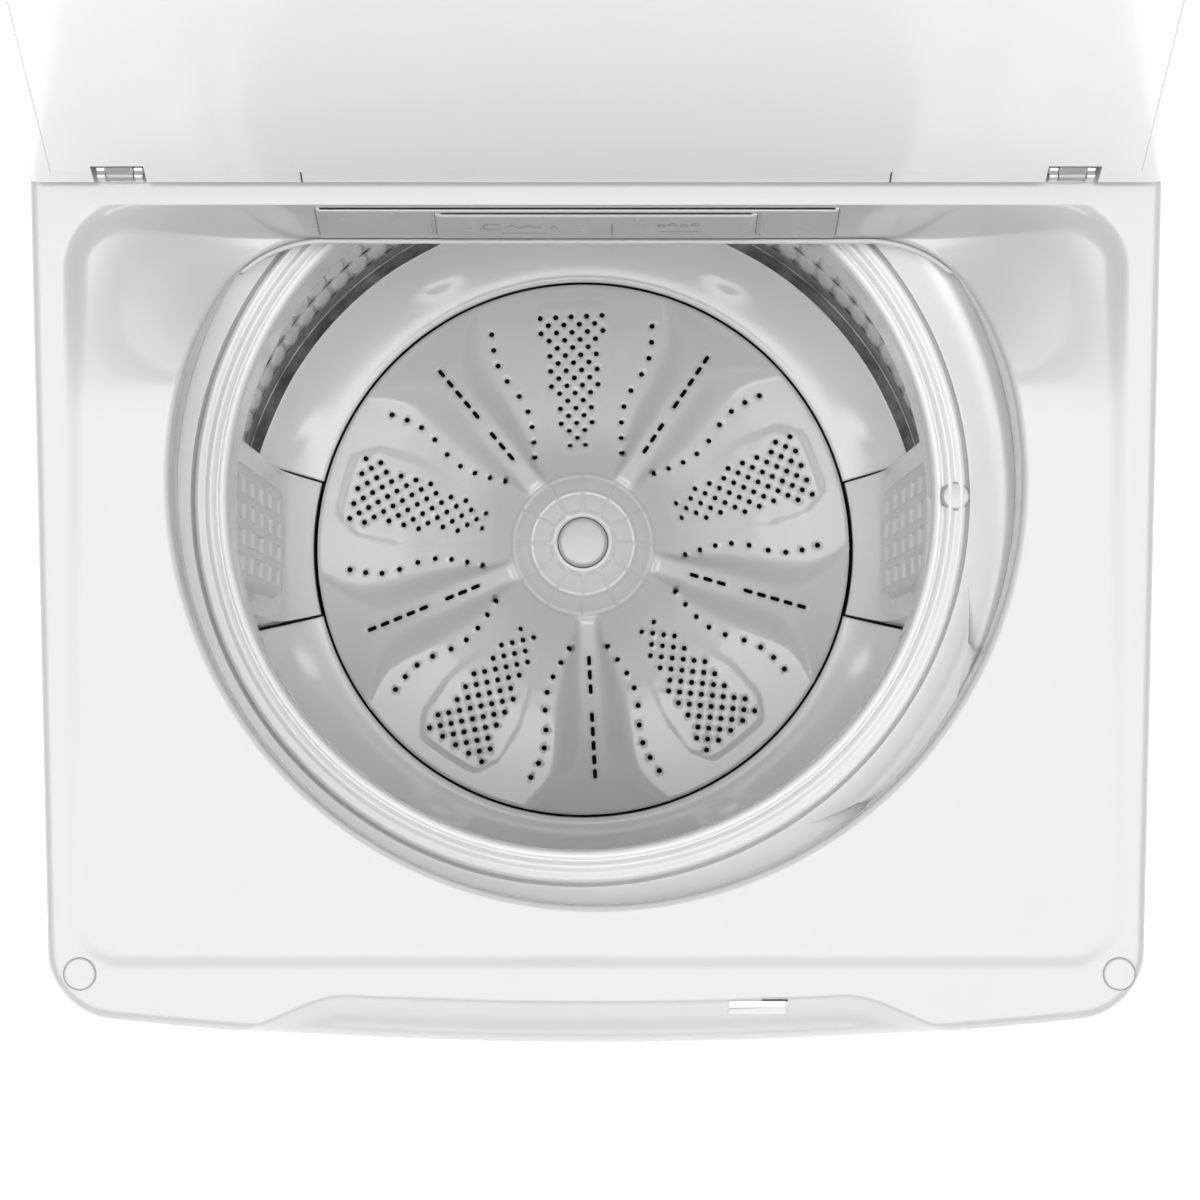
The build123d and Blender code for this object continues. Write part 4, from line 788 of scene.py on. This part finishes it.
def build_steel_wall():
    """Steel cylinder pressed with upright ovals in rows and columns, a small drain hole at each crossing."""
    across = 12
    turns = CELLS_ROUND * across
    height = np.linspace(WALL_FOOT, WALL_HEAD, 221)
    turn = np.arange(turns) / across
    zz, tt = np.meshgrid(height, turn, indexing="ij")
    level = (zz - CELLS_FROM) / CELL_HEIGHT - 0.5
    dx = (tt - np.floor(tt + 0.5)) / 0.5
    dz = (level - np.floor(level + 0.5)) / 0.5
    bulge = np.clip(1 - (np.abs(dx / 0.93) ** 2.2 + np.abs(dz / 0.97) ** 2.6), 0, 1)
    active = (level > -0.5) & (zz < WALL_HEAD - 14)
    radius = WALL_R - 0.4 - np.where(active, 1.0 * smooth(bulge * 2.4), 0)
    foot = np.clip((WALL_FOOT + 24 - zz) / 24, 0, 1)
    radius = radius - 2.4 * foot ** 2
    angle = tt / CELLS_ROUND * 2 * np.pi
    points = np.stack([TUB_X + radius * np.cos(angle), TUB_Y + radius * np.sin(angle), zz], axis=2)
    crossing = np.hypot((1 - np.abs(dx)) * 9.1, (1 - np.abs(dz)) * CELL_HEIGHT / 2)
    drilled = (zz > CELLS_FROM - 6) & (zz < WALL_HEAD - 30)
    hole = (crossing < DRAIN_R) & drilled
    quads = grid_faces(len(height), turns, wrap_columns=True)
    kept = [(i, j) for i in range(len(height) - 1) for j in range(turns) if not hole[i, j]]
    faces = [quads[i * turns + j] for i, j in kept]
    wall = make_object(
        "steel_wall", points.reshape(-1, 3), faces, MATERIALS["basket_steel"], "basket",
        ["basket_wall"], 70,
    )
    # The wall's faces take painted light: painted highlight on the oval rims, painted shade on the ground between
    # the ovals, and painted shade and reflection on the foot band and on a patch round each drain hole.
    for steel in (SHADE_AND_REFLECTION_STEEL, PAINTED_HIGHLIGHT_STEEL, BETWEEN_OVALS_SHADE_STEEL):
        wall.data.materials.append(steel)
    outline = active & (bulge > 0.03) & (bulge < 0.3)
    ground = active & (bulge <= 0.03)
    hole_shade = (crossing < HOLE_SHADE_R) & drilled
    for (i, j), face in zip(kept, wall.data.polygons):
        if face.center.z < (CELLS_FROM - 3) * MM or hole_shade[i, j]:
            face.material_index = 1
        elif outline[i, j]:
            face.material_index = 2
        elif ground[i, j]:
            face.material_index = 3
    add_thickness(wall, 0.8, 1.0)


build_steel_wall()
# Foot band in near-black blotched steel: painted shade and reflection where the wall meets the base.
BAND_PROFILE = [
    (247.4, 426), (247.4, 431.6), (250.2, 435.4), (252.8, 439.6), (253.4, 443.4), (252.9, 444.6),
    (253.1, 446.2), (254.6, 446.6), (256.8, 446.2), (257.4, 438), (257.4, 426),
]
basket_ring("steel_wall_foot", rounded_profile(BAND_PROFILE, 0.7, 3), SHADE_AND_REFLECTION_STEEL, (), 540)

# ---------------- basket base ring, floor and lint columns
SEAM_HALF = 14.6
BASE_INNER_R = 203
BASE_Z = 411
DIMPLE_DEPTH = 5.0
DIMPLES = [23, 62, 118, 157, 205, 242, 298, 335]


def base_height(radius, degrees):
    """Top of the base ring with soft oval dimples."""
    outward = radius - BASE_INNER_R
    height = BASE_Z + 20 * smooth(outward / 62) + 5 * np.clip(outward / 54, 0, 1)
    for middle in DIMPLES:
        away = (degrees - middle + 180) % 360 - 180
        reach = (away * np.pi / 180 * 228 / 24) ** 2 + ((radius - 233) / 14) ** 2
        height = height - DIMPLE_DEPTH * np.exp(-(reach ** 1.4))
    return height


def build_base_ring():
    """Two halves of the base ring, between the lint columns."""
    radii = np.concatenate([[204.5, 199.9, 199.7, 200.3], np.linspace(201.5, 248.2, 40)])
    drops = [3.4, 2.4, 1.2, 0.3]
    for index, middle in enumerate((90, 270)):
        span = 180 - 2 * SEAM_HALF
        degrees = middle - span / 2 + span * np.arange(361) / 360
        angles = np.radians(degrees)
        points = []
        for order, radius in enumerate(radii):
            height = base_height(np.full_like(degrees, radius), degrees)
            if order < len(drops):
                height = height - drops[order]
            points.append(around_tub(radius, angles, height))
        faces = grid_faces(len(radii), len(degrees))
        part = make_object(
            "base_ring_rear" if index == 0 else "base_ring_front", np.concatenate(points), faces,
            MATERIALS["base_plastic"], "basket", (), 60,
        )
        add_thickness(part, 1.2, -1.0)


build_base_ring()
# The basket's floor is near-black, painted shade seen through the impeller's holes and the gap beside the base
# ring.
FLOOR_PROFILE = [(20, 378), (258, 378), (258, 400), (203, 400), (196, 386), (20, 386)]
basket_ring(
    "basket_floor", rounded_profile(FLOOR_PROFILE, 2, 3), PAINTED_SHADE_FLOOR, ["basket_base"], 180
)

COLUMN_HALF = 14.1
COLUMN_LINE = [
    (199.8, 398), (199.8, 411.6), (200.8, 413), (206, 415.4), (214, 420.5), (220, 426), (224, 434),
    (226.5, 446), (229, 480), (236, 600), (246, 797),
]


def column_point(radius, height, degrees, middle):
    """Point on a lint column; its face stands a little proud in the middle."""
    away = (degrees / COLUMN_HALF) ** 2
    upright = smooth((height - 420) / 30)
    bulged = radius - 6 * upright * np.clip(1 - away / 0.62, -0.4, 1)
    angle = math.radians(middle + degrees)
    return (TUB_X + bulged * math.cos(angle), TUB_Y + bulged * math.sin(angle), height)


def build_column(middle, name):
    """One lint column: foot beside the impeller, then an upright face to the balance ring."""
    steps = 49
    dense = []
    for (r0, z0), (r1, z1) in zip(COLUMN_LINE[:-1], COLUMN_LINE[1:]):
        parts = max(2, int((z1 - z0) / 12))
        for part in range(parts):
            dense.append((r0 + (r1 - r0) * part / parts, z0 + (z1 - z0) * part / parts))
    dense.append(COLUMN_LINE[-1])
    points = []
    for radius, height in dense:
        for step in range(steps):
            degrees = -COLUMN_HALF + 2 * COLUMN_HALF * step / (steps - 1)
            points.append(column_point(radius, height, degrees, middle))
    faces = grid_faces(len(dense), steps)
    back = len(points)
    for radius, height in dense:
        for degrees in (-COLUMN_HALF, COLUMN_HALF):
            angle = math.radians(middle + degrees)
            outer = max(radius + 2, 255.5) if height > 424 else radius + 3
            points.append((TUB_X + outer * math.cos(angle), TUB_Y + outer * math.sin(angle), height))
    for i in range(len(dense) - 1):
        a, b = i * steps, (i + 1) * steps
        faces.append((a, b, back + 2 * i + 2, back + 2 * i))
        faces.append((b + steps - 1, a + steps - 1, back + 2 * i + 1, back + 2 * i + 3))
    return make_object(
        name, points, faces, MATERIALS["base_plastic"], "basket",
        ["lint_columns"] if middle == 0 else (), 50,
    )


build_column(0, "lint_column_right")
build_column(180, "lint_column_left")

PANEL_HALF = 10.4
PANEL_LOW = 448
PANEL_HIGH = 786
PANEL_COLUMNS = 4
PANEL_ROWS = 7


def line_radius(height):
    """Radius of the column's centre line at a height."""
    return float(np.interp(height, [p[1] for p in COLUMN_LINE[3:]], [p[0] for p in COLUMN_LINE[3:]]))


def build_filter(middle, name):
    """Slotted filter panel: a proud rounded plate with sunken slots."""
    across = 161
    upward = 241
    degrees = np.linspace(-PANEL_HALF, PANEL_HALF, across)
    heights = np.linspace(PANEL_LOW, PANEL_HIGH, upward)
    slot_pitch = 2 * PANEL_HALF * 0.84 / PANEL_COLUMNS
    row_pitch = (PANEL_HIGH - PANEL_LOW - 34) / PANEL_ROWS
    points = np.zeros((upward, across, 3))
    solid = np.ones((upward, across), dtype=bool)
    middle_z = (PANEL_LOW + PANEL_HIGH) / 2
    half_z = (PANEL_HIGH - PANEL_LOW) / 2
    for i, height in enumerate(heights):
        for j, degree in enumerate(degrees):
            side = abs(degree) / PANEL_HALF
            corner = float(blend_corner((side - 1) * 42, abs(height - middle_z) - half_z, 28))
            rise = 3.4 * float(smooth(-corner / 3.0))
            slot_index = (degree + PANEL_COLUMNS * slot_pitch / 2) / slot_pitch
            row_index = (height - PANEL_LOW - 17) / row_pitch
            if 0 <= slot_index < PANEL_COLUMNS and 0 <= row_index < PANEL_ROWS:
                aside = 0.36 - abs(slot_index % 1 - 0.5)
                along = 0.36 - abs(row_index % 1 - 0.5)
                rise -= 2.2 * float(smooth(aside / 0.1)) * float(smooth(along / 0.06))
            points[i, j] = column_point(line_radius(height) - rise, height, degree, middle)
            solid[i, j] = corner < 0.3
    kept = solid.reshape(-1)
    faces = [face for face in grid_faces(upward, across) if kept[list(face)].all()]
    panel = make_object(
        name, points.reshape(-1, 3), faces, MATERIALS["filter_plastic"], "basket",
        ["lint_filters"] if middle == 0 else (), 50,
    )
    add_thickness(panel, 1.0, 1.0)


build_filter(0, "lint_filter_right")
build_filter(180, "lint_filter_left")

# ---------------- impeller
RIB_COUNT = 5
RIB_ANGLE = 273
PAD_ANGLE = 93
HUB_LINE_R = [12, 18, 30, 42, 52, 62, 74, 88, 104, 128, 155, 180, 198]
HUB_LINE_Z = [471, 470.5, 467, 459.5, 449.5, 438, 427, 418.5, 413.5, 410.3, 409, 409.6, 410.4]
RIB_R = [45, 70, 85, 105, 145, 165, 178, 190]
RIB_FOOT_HALF = [9, 13, 19.5, 25, 30, 34, 43, 56]
CREST_R = [40, 55, 100, 150, 178, 190, 198]
CREST_Z = [457, 452, 436.5, 422, 414.5, 411.4, 410.4]
FIELD_R = [66, 72, 100, 135, 165, 182, 186]
FIELD_HALF = [0, 12, 22, 33, 34, 24, 0]
FIELD_OUT = 173
FIELD_PITCH = 11.5
WEB_RINGS = (22.5, 38, 51)
WEB_HEIGHT = 1.2
BORE_R = 13.0
HOLE_R = 2.0
HOLE_CLEARANCE = HOLE_R + 1.2
SLOT_CLEARANCE = 5.0
PAD_ROWS_HOLES = (5, 4, 5, 4, 3, 4, 3, 4, 3, 4, 3, 2, 3, 2, 3, 2, 1, 2)


def smooth_line(radius):
    """Height of the impeller's dish between the ribs, eased through its guide points."""
    total = 0
    for shift in (-7, -3.5, 0, 3.5, 7):
        total = total + np.interp(radius + shift, HUB_LINE_R, HUB_LINE_Z)
    return total / 5


def fold(degrees, middle):
    """Angle from the nearest rib or field axis."""
    step = 360 / RIB_COUNT
    return (degrees - middle + step / 2) % step - step / 2


def impeller_z(x, y):
    """Top surface of the impeller, x and y from its axis."""
    radius = np.hypot(x, y)
    degrees = np.degrees(np.arctan2(y, x))
    height = smooth_line(radius)
    off = np.radians(fold(degrees, RIB_ANGLE))
    along = radius * np.cos(off)
    aside = np.abs(radius * np.sin(off))
    crest_half = 5.2 + 42 * np.clip((along - 140) / 48, 0, 1.1) ** 2.4
    foot_half = np.interp(along, RIB_R, RIB_FOOT_HALF)
    crest = np.interp(along, CREST_R, CREST_Z)
    share = np.clip((aside - crest_half) / np.maximum(4, foot_half - crest_half), 0, 1)
    rise = np.maximum(0, crest - height) * (1 - smooth(share))
    rise = rise * smooth((along - 50) / 7)
    height = height + rise
    pad = np.radians(fold(degrees, PAD_ANGLE))
    out = radius * np.cos(pad)
    across = np.abs(radius * np.sin(pad))
    pad_half = np.interp(out, FIELD_R, FIELD_HALF)
    ends = smooth((out - 68) / 3) * smooth((184 - out) / 3)
    height = height + 0.9 * smooth((pad_half - across) / 2.2) * ends
    return height + hub_web(radius, degrees)


def hub_web(radius, degrees):
    """Embossed spider web of thin ribs around the cap."""
    spokes = np.abs(radius * np.sin(np.radians((degrees + 15) % 30 - 15)))
    web = smooth((1.3 - spokes) / 0.7) * smooth((radius - 21) / 1) * smooth((53 - radius) / 1)
    for ring_r in WEB_RINGS:
        web = np.maximum(web, smooth((1.3 - np.abs(radius - ring_r)) / 0.7))
    return WEB_HEIGHT * web


def circle(radius, count, cx=0, cy=0):
    """Points of a circle, anticlockwise."""
    turns = [2 * math.pi * k / count for k in range(count)]
    return [(cx + radius * math.cos(t), cy + radius * math.sin(t)) for t in turns]


def round_hole(u, v, axis):
    """Loop of points of a round hole at (u outward, v sideways) from a sector axis."""
    turn = math.radians(axis)
    cx = u * math.cos(turn) - v * math.sin(turn)
    cy = u * math.sin(turn) + v * math.cos(turn)
    return circle(HOLE_R, 14, cx, cy)


def slot_hole(u, axis):
    """Loop of points of a slot on a rib's crest."""
    turn = math.radians(axis)
    loop = []
    for end in (1, -1):
        for k in range(7):
            t = -math.pi / 2 + math.pi * k / 6 + (0 if end > 0 else math.pi)
            a = u + end * 2.25 + 1.5 * math.cos(t)
            b = 1.5 * math.sin(t)
            loop.append((a * math.cos(turn) - b * math.sin(turn), a * math.sin(turn) + b * math.cos(turn)))
    return loop


def impeller_holes():
    """Every hole loop of the impeller, each with the distance that other mesh points keep from its centre."""
    loops = []
    for sector in range(RIB_COUNT):
        turned = 360 / RIB_COUNT * sector
        axis = PAD_ANGLE + turned
        for row, count in enumerate(PAD_ROWS_HOLES):
            for column in range(count):
                across = (column - (count - 1) / 2) * FIELD_PITCH
                loops.append((round_hole(FIELD_OUT - 5.7 * row, across, axis), HOLE_CLEARANCE))
        for step in range(9):
            u = 68.5 + 11.8 * step
            v = 46 + 14 * math.tanh((u - 122) / 19)
            loops.append((round_hole(u, v, axis), HOLE_CLEARANCE))
            loops.append((round_hole(u, -v, axis), HOLE_CLEARANCE))
        for step in range(9):
            if step != 3:
                loops.append((slot_hole(84.6 + 10.3 * step, RIB_ANGLE + turned), SLOT_CLEARANCE))
    return loops


def build_impeller():
    """Impeller plate: flat triangulation with real holes, lifted to its height and thickened."""
    spaced_holes = impeller_holes()
    holes = [loop for loop, _ in spaced_holes]
    centres = np.array([np.mean(loop, axis=0) for loop in holes])
    clearances = np.array([clearance for _, clearance in spaced_holes])
    points = []
    edges = []

    def add_loop(loop):
        first = len(points)
        points.extend(Vector(p) for p in loop)
        edges.extend((first + k, first + (k + 1) % len(loop)) for k in range(len(loop)))

    add_loop(circle(BORE_R, 60))
    add_loop(circle(IMPELLER_R - 1.2, 480))
    for loop in holes:
        add_loop(loop)
    step = 2.6
    radius = 14.5
    while radius < IMPELLER_R - 3:
        fine = 1.1 if radius < 56 else step
        count = int(2 * math.pi * radius / fine)
        for k in range(count):
            t = 2 * math.pi * (k + 0.5 * (int(radius / step) % 2)) / count
            p = (radius * math.cos(t), radius * math.sin(t))
            near = np.hypot(centres[:, 0] - p[0], centres[:, 1] - p[1]) - clearances
            if near.min() > 0:
                points.append(Vector(p))
        radius += fine
    flat, _, triangles, _, _, _ = geometry.delaunay_2d_cdt(points, edges, [], 0, 1e-5)
    flat = np.array([(p[0], p[1]) for p in flat])
    triangles = np.array([t for t in triangles if len(t) == 3])
    middles = flat[triangles].mean(axis=1)
    keep = np.hypot(middles[:, 0], middles[:, 1])
    valid = (keep > BORE_R - 0.1) & (keep < IMPELLER_R)
    for loop in holes:
        centre = np.mean(loop, axis=0)
        close = np.hypot(middles[:, 0] - centre[0], middles[:, 1] - centre[1]) < 6
        for index in np.where(close & valid)[0]:
            if inside_loop(middles[index], loop):
                valid[index] = False
    heights = impeller_z(flat[:, 0], flat[:, 1])
    solid = np.stack([flat[:, 0] + TUB_X, flat[:, 1] + TUB_Y, heights], axis=1)
    plate = make_object(
        "impeller_plate", solid, triangles[valid].tolist(), MATERIALS["impeller_plastic"], "impeller_drive",
        ["impeller"], 60,
    )
    add_thickness(plate, MOULDING_THICKNESS, -1.0)


def inside_loop(point, loop):
    """True if a point is inside a convex loop listed anticlockwise."""
    count = len(loop)
    for k in range(count):
        ax, ay = loop[k]
        bx, by = loop[(k + 1) % count]
        if (bx - ax) * (point[1] - ay) - (by - ay) * (point[0] - ax) < 0:
            return False
    return True


build_impeller()
CAP_R = (CAP_HIGH[0] - CAP_LOW[0]) / 2
# Dark disc just wider than the cap: painted shade round the cap's edge.
disc_button(
    "impeller_cap_edge_shade", TUB_X, TUB_Y, CAP_LOW[2] - 3, CAP_R + 0.7, 3.4, 0.3, SEAM_SHADE, "impeller_drive",
    "impeller_plastic",
)
disc_button(
    "impeller_cap_dome", TUB_X, TUB_Y, CAP_LOW[2] - 1, CAP_R, 5, 3.2, CAP_WHITE,
    "impeller_drive", "impeller_plastic", ["impeller_cap"], 96,
)

# ---------------- suspension springs
SPRING_LOW, SPRING_HIGH = box_mm("suspension_springs")
SPRING_WIRE_R = 2.2
SPRING_R = 11
SPRING_TURNS = 24
ROD_OFFSET = (SPRING_HIGH[0] - SPRING_LOW[0]) / 2 - SPRING_R - SPRING_WIRE_R


def build_springs():
    """Four coil springs."""
    steps, around = SPRING_TURNS * 24, 10
    foot, head = SPRING_LOW[2] + SPRING_WIRE_R, SPRING_HIGH[2] - SPRING_WIRE_R
    turn = np.linspace(0, 2 * np.pi * SPRING_TURNS, steps)
    ring = 2 * np.pi * np.arange(around) / around
    reach = SPRING_R + SPRING_WIRE_R * np.cos(ring)[None, :] * np.ones((steps, 1))
    height = np.linspace(foot, head, steps)[:, None] + SPRING_WIRE_R * np.sin(ring)[None, :]
    points, faces = [], []
    for x_side in (-1, 1):
        for y_side in (-1, 1):
            x = TUB_X + x_side * ROD_OFFSET + reach * np.cos(turn)[:, None]
            y = TUB_Y + y_side * ROD_OFFSET + reach * np.sin(turn)[:, None]
            first = len(points) * steps * around
            points.append(np.stack([x, y, height], axis=2).reshape(-1, 3))
            faces += [tuple(first + k for k in face) for face in tube_faces(steps, around)]
    coils = make_object(
        "suspension_coils", np.concatenate(points), faces, MATERIALS["spring_steel"], None,
        ["suspension_springs"], 60,
    )
    face_outward(coils)
    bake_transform(coils)


build_springs()

# ---------------- lid trims, with painted shade along the joint lines and in the hinge pockets
HINGE_PLACE = [value / MM for value in HINGE["pos_m"]]
LID_LEAN = math.radians(16)
LID_INNER = 8
LID_BACK_HALF = 343
LID_NARROW = 10 / 505
KNUCKLE_X = 288


def lid_place(x, v, w):
    """Point in the open lid's plane: v up the lid from the hinge, w toward the user."""
    y = HINGE_PLACE[1] + v * math.sin(LID_LEAN) - w * math.cos(LID_LEAN)
    z = HINGE_PLACE[2] + v * math.cos(LID_LEAN) + w * math.sin(LID_LEAN)
    return (x, y, z)


def lid_bar(name, path, section, material, replaced=()):
    """Bar along (x, v, w) points in the lid's plane; section holds its half width and half depth."""
    half_width, half_depth = section
    points = []
    corners = ((1, 1), (1, -1), (-1, -1), (-1, 1))
    for index, (x, v, w) in enumerate(path):
        dx, dv = direction_at(path, index)
        for a, b in corners:
            aside = half_width * a
            points.append(lid_place(x - dv * aside, v + dx * aside, w + half_depth * b))
    bar = make_object(name, points, tube_faces(len(path), 4), material, "lid", replaced, 30)
    face_outward(bar)
    add_bevel(bar, min(section) * 0.5)


TRIM_W = -4.6
JOINT_X = 178
POCKET_W = -12
for side, word in SIDES:
    edge_line = [(side * (LID_BACK_HALF - 7), -3.2, TRIM_W), (side * (LID_BACK_HALF - 1.2), -1.2, TRIM_W)]
    for step in range(24):
        v = 6 + 20 * step
        edge_line.append((side * (LID_BACK_HALF + 1.0 - LID_NARROW * v), v, TRIM_W))
    lid_bar(
        "lid_trim_" + word, edge_line, (1.0, 5.5), MATERIALS["chrome"],
        ["lid_trims"] if side < 0 else (),
    )
    # Dark bars along the lid's joints: painted shade.
    joint_line = [(side * JOINT_X, v, LID_INNER) for v in (-1.9, 5, 12)]
    lid_bar("lid_joint_shade_" + word, joint_line, (0.5, 0.25), SEAM_SHADE)
    # Grey bars in the hinge notches: painted shade.
    pocket_line = [(side * KNUCKLE_X, v, POCKET_W) for v in (1, 10, 20)]
    lid_bar(
        "hinge_pocket_shade_" + word, pocket_line, (15.4, 1.2), MATERIALS["grey_plastic"]
    )

# ---------------- floor, lights, world and camera
FLOOR_HALF = 8
floor_mesh = bpy.data.meshes.new("studio_floor")
corners = [(-FLOOR_HALF, -FLOOR_HALF, 0), (FLOOR_HALF, -FLOOR_HALF, 0)]
corners += [(FLOOR_HALF, FLOOR_HALF, 0), (-FLOOR_HALF, FLOOR_HALF, 0)]
floor_mesh.from_pydata(corners, [], [(0, 1, 2, 3)])
studio_floor = bpy.data.objects.new("studio_floor", floor_mesh)
bpy.context.scene.collection.objects.link(studio_floor)
floor_look = moulded("pale_floor", 0.92, 0.6, 200, 0.01)
floor_shader = floor_look.node_tree.nodes["Principled BSDF"]
floor_shader.inputs["Emission Color"].default_value = (1, 1, 1, 1)
floor_shader.inputs["Emission Strength"].default_value = 0.5
floor_mesh.materials.append(floor_look)


def soft_light(name, place, aim, size, power):
    """Rectangular softbox aimed at a point."""
    lamp = bpy.data.lights.new(name, "AREA")
    lamp.shape = "RECTANGLE"
    lamp.size = size[0]
    lamp.size_y = size[1]
    lamp.energy = power
    obj = bpy.data.objects.new(name, lamp)
    bpy.context.scene.collection.objects.link(obj)
    obj.location = place
    obj.rotation_euler = (Vector(aim) - Vector(place)).to_track_quat("-Z", "Y").to_euler()


soft_light("lid_light", (0, -4.2, 1.5), (0, 0.2, 1.25), (2.2, 0.8), 20)
ZENITH = 4.6
SURROUND = 0.5


def studio_world():
    """White surround with a wide soft glow straight overhead, longer from side to side."""
    world = bpy.data.worlds.new("studio")
    world.use_nodes = True
    tree = world.node_tree
    source = tree.nodes.new("ShaderNodeTexCoord")
    stretch = tree.nodes.new("ShaderNodeMapping")
    stretch.inputs["Scale"].default_value = (0.66, 1.55, 0)
    stretch.inputs["Location"].default_value = (0, 0.16, 0)
    reach = tree.nodes.new("ShaderNodeVectorMath")
    reach.operation = "LENGTH"
    glow = tree.nodes.new("ShaderNodeMapRange")
    glow.interpolation_type = "SMOOTHSTEP"
    glow.inputs["From Min"].default_value = 0.15
    glow.inputs["From Max"].default_value = 0.62
    glow.inputs["To Min"].default_value = ZENITH
    glow.inputs["To Max"].default_value = SURROUND
    tree.links.new(source.outputs["Generated"], stretch.inputs["Vector"])
    tree.links.new(stretch.outputs["Vector"], reach.inputs[0])
    tree.links.new(reach.outputs["Value"], glow.inputs["Value"])
    tree.links.new(glow.outputs["Result"], tree.nodes["Background"].inputs["Strength"])
    tree.nodes["Background"].inputs["Color"].default_value = (1, 1, 1, 1)
    bpy.context.scene.world = world


studio_world()
bpy.context.scene.view_settings.view_transform = "Standard"

camera_data = bpy.data.cameras.new("camera")
camera_data.lens = 120
camera_data.sensor_width = 36
camera = bpy.data.objects.new("camera", camera_data)
camera.location = (0.0024, -0.2235, 3.3646)
camera.rotation_euler = (math.radians(3.4), 0, 0)
bpy.context.scene.collection.objects.link(camera)
bpy.context.scene.camera = camera
